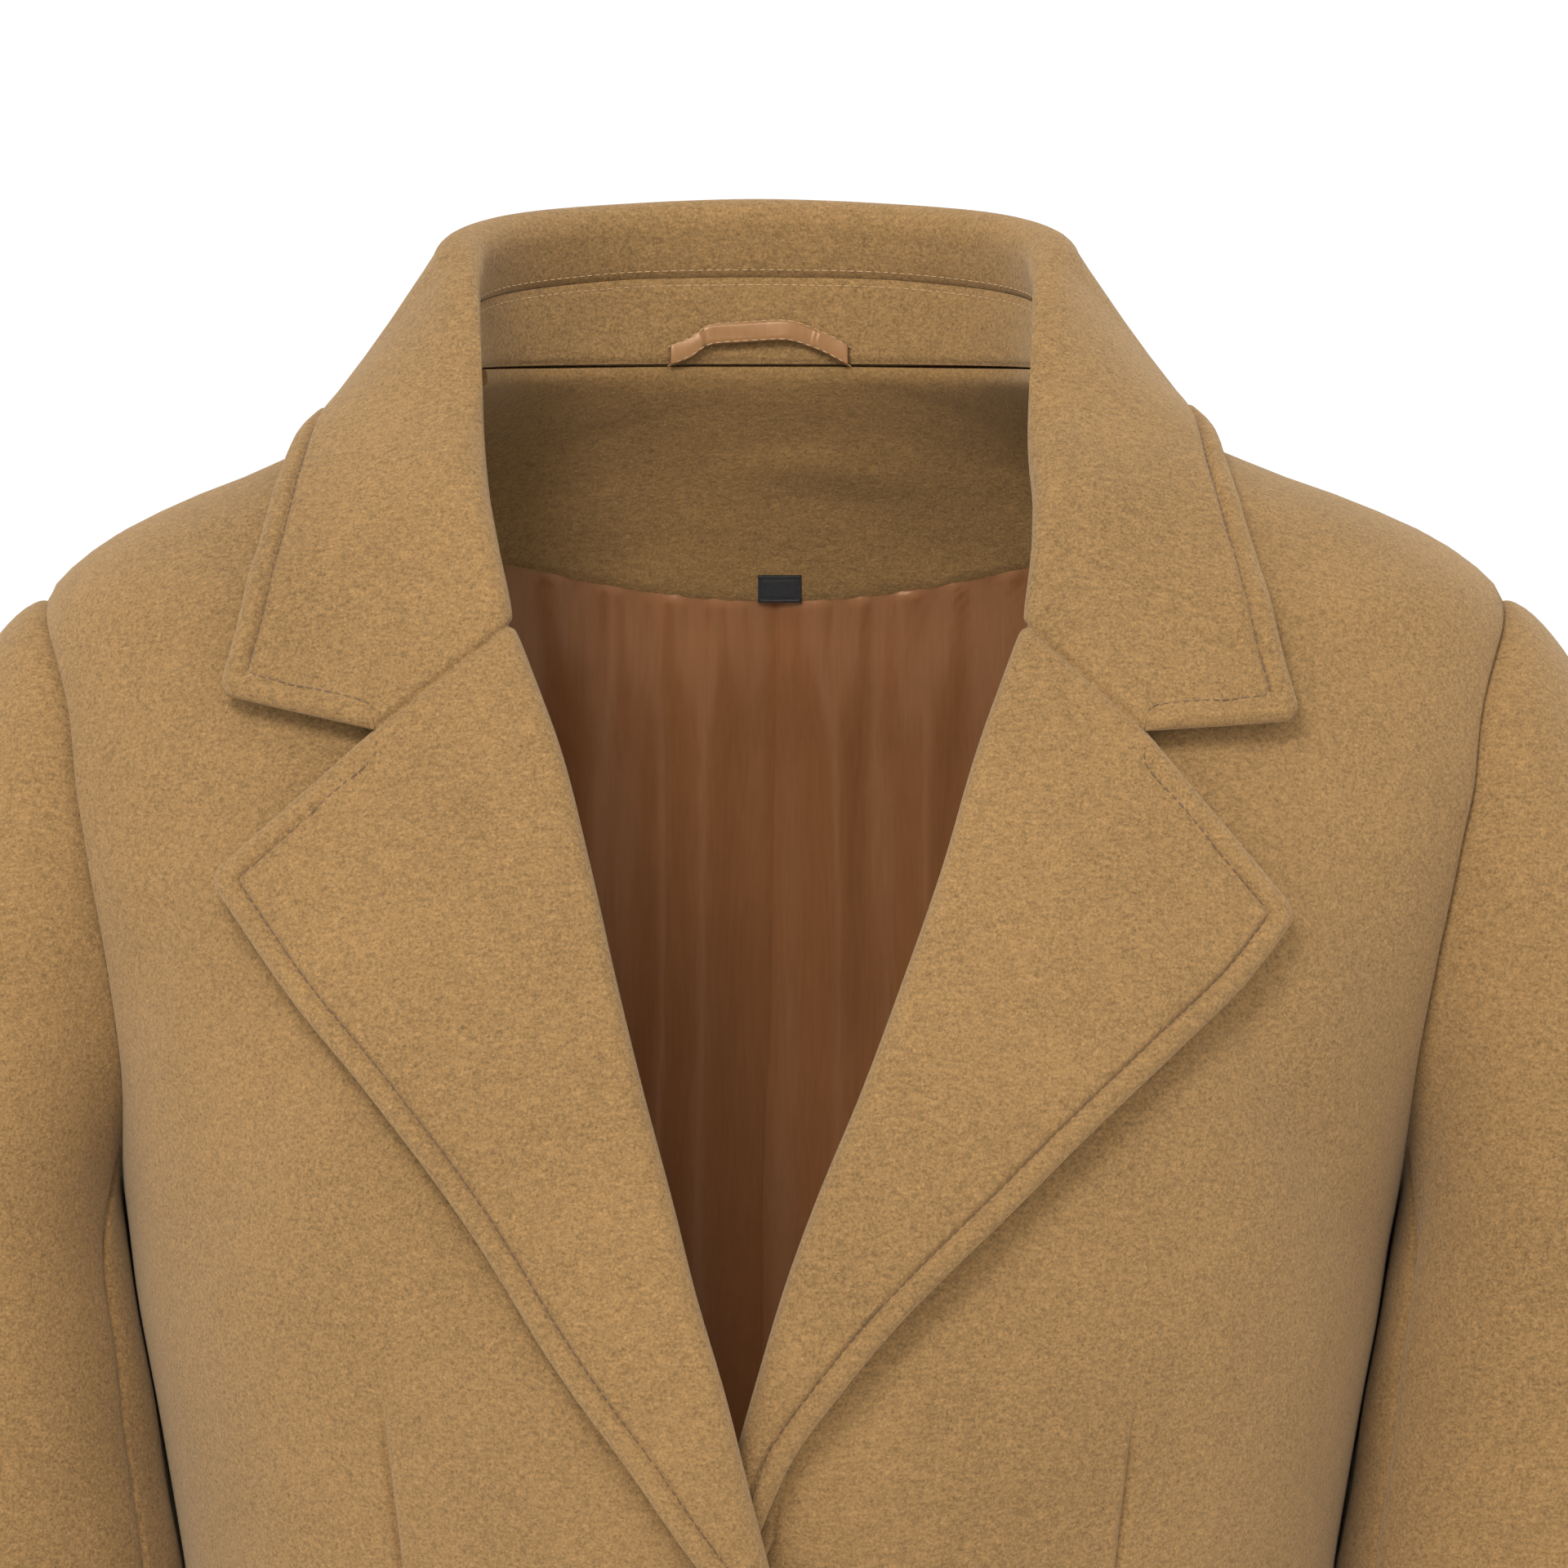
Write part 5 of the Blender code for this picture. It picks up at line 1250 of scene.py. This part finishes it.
def hangerLoop():
    path = np.array(loopPath)
    steps = np.hypot(np.diff(path[:, 0]), np.diff(path[:, 1]))
    reach = np.concatenate([[0], np.cumsum(steps)])
    sway, wide = [float(bodyAt[name](0.0)) for name in ("sway", "halfWidth")]
    half = loop["wall"] / 2
    rows = []
    for edge in (1, 0.96, 0.88, 0.5, 0, -0.5, -0.88, -0.96, -1):
        row = []
        for at in spread(reach[-1], 60, seamSteps, seamSteps):
            x, z, lean = [float(hermite(reach, path[:, i], at)) for i in range(3)]
            share = np.arcsin((abs(x - sway) / wide) ** (squareness / 2)) / np.pi
            neck = neckPoint(share, "left")
            seam = float(collarAt["seam"](share))
            seam = neck + (tablePoint("roll", share, sides["left"]) - neck) * seam
            up = z + edge * loop["width"] / 2
            y = neck[1] + (seam[1] - neck[1]) * (up - neck[2]) / (seam[2] - neck[2])
            row.append((x, y - doubleWall / 2 - half - loop["gap"] - lean, up))
        rows.append(row)
    middle = np.array(rows)
    normals = facing(middle, (0, -1, 0))
    ends = nearest(middle, (middle[:, 0], middle[:, -1]))
    edges = nearest(middle, (middle[0], middle[-1]))
    rim = np.minimum(ends, edges)
    folded = 0.0007 * (1 - smoothstep(loop["fold"] - 0.0006, loop["fold"], ends))
    lift = half * roundness(rim, 0.0007) + folded * roundness(rim, 0.0006)
    lift = lift - 0.0002 * bump(edges, 0.0010, 0.0003)
    outer = middle + normals * lift[..., None]
    piece = closedMesh("hanger_loop_satin", outer, middle - normals * half)
    return piece, [outer[row] + normals[row] * 0.00004 for row in (2, -3)]


def neckLabel():
    across = np.linspace(-0.5, 0.5, 27) * label["width"] + label["centre"]
    x, z = np.meshgrid(across, label["top"] - np.linspace(0, label["height"], 17))
    depth = bodyAt["backDepth"](z) * bulge(x - bodyAt["sway"](z), z)
    grid = stack(x, bodyAt["seamY"](z) + depth - woolWall - facingGap - facingWall, z)
    rim = nearest(grid, (grid[0], grid[-1], grid[:, 0], grid[:, -1]))
    lift = label["wall"] * roundness(rim, 0.0006) + 0.0003 - 0.00018 * bump(rim, 0.0011, 0.0003)
    front = grid + facing(grid, (0, -1, 0)) * lift[..., None]
    return closedMesh("neck_label_woven", front, grid)


def contour(surface, field, level):
    # polylines where a field over a grid of points has the given level
    above = field > level
    points, links = {}, {}
    rows, columns = field.shape
    for r in range(rows - 1):
        for c in range(columns - 1):
            corners = [(r, c), (r, c + 1), (r + 1, c + 1), (r + 1, c)]
            crossed = []
            for a, b in zip(corners, corners[1:] + corners[:1]):
                if above[a] != above[b]:
                    a, b = min(a, b), max(a, b)
                    share = (level - field[a]) / (field[b] - field[a])
                    points[a, b] = surface[a] * (1 - share) + surface[b] * share
                    crossed.append((a, b))
            for a, b in zip(crossed[::2], crossed[1::2]):
                links.setdefault(a, []).append(b)
                links.setdefault(b, []).append(a)
    lines, used = [], set()
    for here in sorted(links, key=lambda key: len(links[key])):
        chain = []
        while here and here not in used:
            used.add(here)
            chain.append(points[here])
            here = next((key for key in links[here] if key not in used), None)
        if len(chain) > 3:
            lines.append(np.array(chain))
    return lines


def smoothLine(line, spacing=0.0016):
    steps = np.linalg.norm(np.diff(line, axis=0), axis=1)
    length = np.concatenate([[0], np.cumsum(steps)])
    keep = np.concatenate([[True], steps > 1e-7])
    line, length = line[keep], length[keep]
    at = np.linspace(0, length[-1], max(int(length[-1] / spacing), 4))
    line = np.stack([np.interp(at, length, line[:, i]) for i in range(3)], axis=1)
    for _ in range(3):
        line[1:-1] = (line[:-2] + 2 * line[1:-1] + line[2:]) / 4
    return line


def addNode(tree, kind, inputs, **settings):
    # a node of a tree; each of its inputs is a value or another node's output
    node = tree.nodes.new(kind)
    for name, value in settings.items():
        setattr(node, name, value)
    for name, value in inputs.items():
        if isinstance(value, bpy.types.NodeSocket):
            tree.links.new(value, node.inputs[name])
        else:
            node.inputs[name].default_value = value
    return node.outputs


def stitchGroup():
    # threads set along a path at an even spacing, each of them lying along it
    group = bpy.data.node_groups.new("stitches", "GeometryNodeTree")
    kinds = {"Geometry": "Geometry", "Spacing": "Float", "Length": "Float", "Radius": "Float"}
    kinds.update({"Seed": "Int", "Material": "Material"})
    for name, kind in kinds.items():
        group.interface.new_socket(name, in_out="INPUT", socket_type="NodeSocket" + kind)
    group.interface.new_socket("Geometry", in_out="OUTPUT", socket_type="NodeSocketGeometry")
    given = addNode(group, "NodeGroupInput", {})
    curve = addNode(group, "GeometryNodeMeshToCurve", {"Mesh": given["Geometry"]})[0]
    path = {"Curve": curve, "Length": given["Spacing"]}
    path = addNode(group, "GeometryNodeResampleCurve", path, mode="LENGTH")["Curve"]
    way = {"Vector": addNode(group, "GeometryNodeInputTangent", {})[0]}
    way = addNode(group, "FunctionNodeAlignRotationToVector", way, axis="Z")["Rotation"]
    ball = {"Segments": 8, "Rings": 6, "Radius": given["Radius"]}
    ball = addNode(group, "GeometryNodeMeshUVSphere", ball)["Mesh"]
    ball = addNode(group, "GeometryNodeSetShadeSmooth", {0: ball})[0]
    ratio = {0: given["Length"], 1: given["Radius"]}
    ratio = addNode(group, "ShaderNodeMath", ratio, operation="DIVIDE")[0]
    half = addNode(group, "ShaderNodeMath", {0: ratio, 1: 0.5}, operation="MULTIPLY")[0]
    size = addNode(group, "ShaderNodeCombineXYZ", {"X": 1.0, "Y": 1.0, "Z": half})[0]
    thread = {"Geometry": ball, "Scale": size}
    thread = addNode(group, "GeometryNodeTransform", thread)["Geometry"]
    uneven = {2: 0.88, 3: 1.08, "Seed": given["Seed"]}
    uneven = addNode(group, "FunctionNodeRandomValue", uneven, data_type="FLOAT")[1]
    many = {"Points": path, "Instance": thread, "Rotation": way, "Scale": uneven}
    many = addNode(group, "GeometryNodeInstanceOnPoints", many)["Instances"]
    real = addNode(group, "GeometryNodeRealizeInstances", {"Geometry": many})["Geometry"]
    real = {"Geometry": real, "Material": given["Material"]}
    real = addNode(group, "GeometryNodeSetMaterial", real)["Geometry"]
    addNode(group, "NodeGroupOutput", {"Geometry": real})
    return group


def sewAlong(name, lines, group, size, material):
    points, edges = [], []
    for line in lines:
        first = len(points)
        points += [tuple(point) for point in line]
        edges += [(i, i + 1) for i in range(first, len(points) - 1)]
    mesh = bpy.data.meshes.new(name)
    mesh.from_pydata(points, edges, [])
    source = bpy.data.objects.new(name + "Path", mesh)
    bpy.context.scene.collection.objects.link(source)
    modifier = source.modifiers.new("stitches", "NODES")
    modifier.node_group = group
    given = {"Spacing": size[0], "Length": size[1], "Radius": size[2]}
    given.update({"Seed": sewing["seed"], "Material": material})
    for item in group.interface.items_tree:
        if item.item_type == "SOCKET" and item.in_out == "INPUT" and item.name in given:
            modifier[item.identifier] = given[item.name]
    graph = bpy.context.evaluated_depsgraph_get()
    made = bpy.data.meshes.new_from_object(source.evaluated_get(graph), depsgraph=graph)
    made.name = name
    bpy.data.objects.remove(source)
    piece = bpy.data.objects.new(name, made)
    bpy.context.scene.collection.objects.link(piece)
    return piece


def drillHole(piece, at):
    half = np.pi / 2
    size = {"vertices": 20, "radius": horn["hole"], "depth": 0.02}
    bpy.ops.mesh.primitive_cylinder_add(location=at, rotation=(half, 0, 0), **size)
    drill = bpy.context.object
    hole = piece.modifiers.new("hole", "BOOLEAN")
    hole.operation, hole.solver, hole.object = "DIFFERENCE", "EXACT", drill
    graph = bpy.context.evaluated_depsgraph_get()
    mesh = bpy.data.meshes.new_from_object(piece.evaluated_get(graph), depsgraph=graph)
    piece.modifiers.clear()
    piece.data = mesh
    bpy.data.objects.remove(drill)


def turnedButton(name, z):
    # dished button with four holes, and the paths of the two bars of thread across it
    around, rings = horn["around"], len(hornProfile)
    lean = float(frontY(0, z + 0.01) - frontY(0, z - 0.01)) / 0.02
    back = float(frontY(0, z)) - float(lapLift(-1, np.array(0.0), z)) - 2 * seamGap
    points, faces = [], []
    for radius, height in hornProfile:
        for turn in 2 * np.pi * np.arange(around) / around:
            x, up = radius * horn["radius"] * np.array([np.cos(turn), np.sin(turn)])
            points.append((x, back - height * horn["height"] + lean * up, z + up))
    faces.append(tuple(range(around)))
    faces.append(tuple(reversed(range((rings - 1) * around, rings * around))))
    for r in range(rings - 1):
        for k in range(around):
            a, b = r * around + k, r * around + (k + 1) % around
            faces.append((a, a + around, b + around, b))
    piece = newPiece(name, points, faces, 40)
    turns = np.pi / 4 + np.arange(4) * np.pi / 2
    for turn in turns:
        x, up = horn["holeReach"] * np.cos(turn), horn["holeReach"] * np.sin(turn)
        drillHole(piece, (x, back, z + up))
    piece.data.shade_smooth()
    piece.data.set_sharp_from_angle(angle=np.radians(35))
    bars = []
    for turn, lift in zip(turns[:2], (0.0003, 0.0005)):
        reach = horn["holeReach"] * 0.72 * np.array([-1, 1])
        x, up = reach * np.cos(turn), reach * np.sin(turn)
        bars.append(stack(x, back - horn["eye"] * horn["height"] - lift + lean * up, z + up))
    return piece, bars


# Materials


class Shade:
    # a Principled material whose patterns lie in the piece's own object space
    def __init__(self, name, fixed):
        self.material = bpy.data.materials.new(name)
        self.material.use_nodes = True
        self.tree = self.material.node_tree
        self.inputs = self.tree.nodes["Principled BSDF"].inputs
        self.place = addNode(self.tree, "ShaderNodeTexCoord", {})["Object"]
        for socket, value in fixed.items():
            self.inputs[socket].default_value = value

    def noise(self, scale, detail=3, roughness=0.55, stretch=None, distortion=0.0):
        where = self.place
        if stretch:
            where = {"Vector": where, "Scale": stretch}
            where = addNode(self.tree, "ShaderNodeMapping", where)["Vector"]
        given = {"Vector": where, "Scale": scale, "Detail": detail}
        given.update({"Roughness": roughness, "Distortion": distortion})
        return addNode(self.tree, "ShaderNodeTexNoise", given)[0]

    def ramp(self, value, low, high, first=0.0, second=1.0):
        given = {"Value": value, "From Min": low, "From Max": high}
        given.update({"To Min": first, "To Max": second})
        return addNode(self.tree, "ShaderNodeMapRange", given)["Result"]

    def times(self, first, second):
        return addNode(self.tree, "ShaderNodeMath", {0: first, 1: second}, operation="MULTIPLY")[0]

    def total(self, total, *rest):
        for value in rest:
            total = addNode(self.tree, "ShaderNodeMath", {0: total, 1: value}, operation="ADD")[0]
        return total

    def colour(self, share, dark, light):
        given = {"Factor": share, 6: (*dark, 1), 7: (*light, 1)}
        mixed = addNode(self.tree, "ShaderNodeMix", given, data_type="RGBA")[2]
        self.tree.links.new(mixed, self.inputs["Base Color"])

    def relief(self, height, strength, distance):
        given = {"Height": height, "Strength": strength, "Distance": distance}
        raised = addNode(self.tree, "ShaderNodeBump", given)["Normal"]
        self.tree.links.new(raised, self.inputs["Normal"])


palette = {
    "wool": (0.252, 0.145, 0.056),
    # the shell's wool made a little darker: painted shade on the facing inside the coat
    "facing": (0.240, 0.136, 0.050),
    "satin": (0.215, 0.086, 0.032),
    "loop": (0.24, 0.118, 0.046),
    "thread": (0.110, 0.055, 0.018),
    "paleThread": (0.42, 0.26, 0.12),
    "woolSheen": (1.0, 0.80, 0.55, 1),
    "satinSheen": (1.0, 0.78, 0.55, 1),
    "satinShine": (1.0, 0.70, 0.46, 1),
    "woolMottle": 0.19,
    "facingMottle": 0.16,
}


def scaled(colour, factor):
    return tuple(channel * factor for channel in colour)


def woolShade(name, colour, mottle):
    # napped melton: clouds, felted clumps, grain and a few long flecks
    fixed = {"Roughness": 0.92, "Sheen Weight": 0.30, "Sheen Roughness": 0.45}
    fixed.update({"Sheen Tint": palette["woolSheen"], "Specular IOR Level": 0.12})
    shade = Shade(name, fixed)
    cloud, felt = shade.noise(12, 4, 0.6), shade.noise(420, 4, 0.75, distortion=0.8)
    grain = shade.noise(1250, 3, 0.75, distortion=0.5)
    fleck = shade.noise(900, 2, 0.6, stretch=(0.35, 1.0, 1.0))
    share = shade.total(
        shade.ramp(cloud, 0.3, 0.7, -0.30, 0.30),
        shade.ramp(felt, 0.3, 0.7, -0.32, 0.32),
        shade.ramp(grain, 0.3, 0.7, -1.2, 1.2),
        shade.ramp(fleck, 0.35, 0.65, -0.35, 0.35),
    )
    dark, light = scaled(colour, 1 - 2.4 * mottle), scaled(colour, 1 + 2.4 * mottle)
    shade.colour(shade.ramp(share, -1.4, 1.4), dark, light)
    height = shade.total(shade.times(felt, 0.9), grain, shade.noise(75, 3))
    shade.relief(height, 0.6, 0.0007)
    return shade.material


def satinShade(name, colour):
    fixed = {"Roughness": 0.29, "Sheen Weight": 0.05, "Anisotropic": 0.35}
    fixed.update({"Sheen Tint": palette["satinSheen"], "Specular Tint": palette["satinShine"]})
    shade = Shade(name, fixed | {"Specular IOR Level": 0.42})
    streak = shade.noise(900, 3, 0.6, stretch=(1.0, 1.0, 0.05))
    cloud = shade.ramp(shade.noise(14, 3), 0.3, 0.7, -0.5, 0.5)
    share = shade.total(cloud, shade.ramp(streak, 0.3, 0.7, -0.5, 0.5))
    shade.colour(shade.ramp(share, -1, 1), scaled(colour, 0.85), scaled(colour, 1.15))
    height = shade.total(shade.noise(55, 3, stretch=(1, 1, 0.25)), shade.times(streak, 0.05))
    shade.relief(height, 0.35, 0.0012)
    return shade.material


def threadShade(name):
    fixed = {"Roughness": 0.6, "Sheen Weight": 0.2, "Base Color": (*palette[name], 1)}
    return Shade(name, fixed).material


def labelShade(name):
    shade = Shade(name, {"Roughness": 0.55, "Sheen Weight": 0.15})
    warp, weft = [shade.noise(2600, 1, stretch=way) for way in ((1, 1, 0.2), (0.2, 1, 1))]
    weave = shade.times(warp, weft)
    shade.colour(weave, (0.004, 0.0035, 0.0035), (0.012, 0.011, 0.011))
    shade.relief(weave, 0.5, 0.0003)
    return shade.material


def hornShade(name):
    shade = Shade(name, {"Roughness": 0.28, "Coat Weight": 0.15})
    streak = shade.noise(120, 4, 0.6, stretch=(1, 1, 0.35), distortion=1.5)
    share = shade.ramp(streak, 0.35, 0.65)
    shade.colour(share, (0.045, 0.022, 0.010), (0.17, 0.095, 0.045))
    return shade.material


# Putting it together


def dress(piece, node, material):
    piece.data.materials.clear()
    piece.data.materials.append(material)
    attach(piece, "root")
    if node:
        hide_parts(node)


def makeShell(wool):
    print("shell")
    lines = []
    for which in sides:
        piece, stitches = frontPanel(which)
        dress(piece, f"front_{which}", wool)
        lines += stitches
    dress(backPanel(), "back", wool)
    print("sleeves")
    for which in sides:
        for name in ("top", "under"):
            piece, flat = sleeveCloth(which, name), "sleeve" + name.title()
            node, front = f"sleeve_{name}_{which}", f"front_{which}"
            dress(piece, node, wool)
    return lines


def makeCollar(wool):
    print("lapels and collar")
    lines = []
    for which in sides:
        piece, stitches = lapelCloth(which)
        dress(piece, f"lapel_{which}", wool)
        lines += stitches
    piece, stitches, outer, seamLine = collarCloth()
    dress(piece, "collar", wool)
    piece, face, normals, reach = standCloth(seamLine)
    dress(piece, "collar_stand", wool)
    fromSeam = reachFrom(face, face[:, -1])
    fine = contour(face + normals * 0.00002, fromSeam, sewing["standRow"])
    centre, columns = len(outer) // 2, turnedCloth["insideColumns"] + 1
    above = outer[centre - reach + 1 : centre + reach, :columns]
    fine += contour(above, reachFrom(above, above[:, 0]), sewing["collarRow"])
    return lines + stitches, fine


def makeInside(facingWoolPaintedShade, satin, loopSatin):
    print("inside")
    dress(facingCloth(), "back_neck_facing", facingWoolPaintedShade)
    for which in sides:
        piece = liningCloth(which)
        dress(piece, f"lining_{which}", satin)
    piece, stitches = hangerLoop()
    dress(piece, "hanger_loop", loopSatin)
    dress(neckLabel(), "neck_label", labelShade("labelWeave"))
    return stitches


def makeSewing(lines, fine, thread, paleThread):
    print("stitches and buttons")
    group = stitchGroup()
    rows = {"topstitching": (lines, "top", thread), "stand_stitching": (fine, "fine", paleThread)}
    for name, (paths, kind, material) in rows.items():
        paths = [smoothLine(line) for line in paths if len(line) > 8]
        piece = sewAlong(name, paths, group, sewing[kind], material)
        dress(piece, None, material)
        print(f"  {name}: {len(piece.data.polygons)} faces")
    bars = []
    for name, z in buttonHeights.items():
        piece, ends = turnedButton(name + "_horn", z)
        dress(piece, name, hornShade(name + "Horn"))
        bars += ends
    piece = sewAlong("button_thread", bars, group, sewing["button"], thread)
    dress(piece, None, thread)


def makeCoat():
    wool = woolShade("wool", palette["wool"], palette["woolMottle"])
    # the facing's wool is the shell's wool, a little darker as painted shade
    facingWoolPaintedShade = woolShade("facingWoolPaintedShade", palette["facing"], palette["facingMottle"])
    satin = satinShade("satin", palette["satin"])
    loopSatin = satinShade("loopSatin", palette["loop"])
    thread, paleThread = threadShade("thread"), threadShade("paleThread")
    lines = makeShell(wool)
    turned, fine = makeCollar(wool)
    fine += makeInside(facingWoolPaintedShade, satin, loopSatin)
    makeSewing(lines + turned, fine, thread, paleThread)


studio = {
    "floor": -1.02,
    "world": 1.06,
    "lampAt": (-0.75, -2.3, 1.9),
    "lampAim": (0.0, -0.1, -0.25),
    "lampSize": 1.0,
    "lampPower": 66,
    "cameraAt": (0.0035, -2.658667, 0.062998),
    "cameraTurn": 86,  # degrees up from straight down
    "distance": 2.6,
    "pixel": 0.0002353,  # real width of one of the frame's 1920 pixels at that distance
}


def stageAndLight():
    print("stage and light")
    scene = bpy.context.scene
    scene.view_settings.view_transform = "Standard"
    bpy.ops.mesh.primitive_plane_add(size=60, location=(0, 0, studio["floor"]))
    floor = bpy.context.object
    floor.name = "floor"
    fixed = {"Roughness": 1.0, "Specular IOR Level": 0.0, "Base Color": (0.96, 0.96, 0.96, 1)}
    floor.data.materials.append(Shade("floorPale", fixed).material)
    world = bpy.data.worlds.new("studio")
    world.use_nodes = True
    sky = world.node_tree.nodes["Background"].inputs
    sky["Color"].default_value, sky["Strength"].default_value = (1, 1, 1, 1), studio["world"]
    scene.world = world
    lamp = bpy.data.lights.new("keyLight", "AREA")
    lamp.shape, lamp.size, lamp.energy = "DISK", studio["lampSize"], studio["lampPower"]
    piece = bpy.data.objects.new("keyLight", lamp)
    piece.location = studio["lampAt"]
    aim = Vector(studio["lampAim"]) - Vector(studio["lampAt"])
    piece.rotation_euler = aim.to_track_quat("-Z", "Y").to_euler()
    scene.collection.objects.link(piece)


def camera():
    seen = bpy.data.cameras.new("camera")
    seen.sensor_width = 36
    seen.lens = seen.sensor_width * studio["distance"] / (1920 * studio["pixel"])
    piece = bpy.data.objects.new("camera", seen)
    piece.location = studio["cameraAt"]
    piece.rotation_euler = (np.radians(studio["cameraTurn"]), 0, 0)
    bpy.context.scene.collection.objects.link(piece)
    bpy.context.scene.camera = piece


makeCoat()
stageAndLight()
camera()
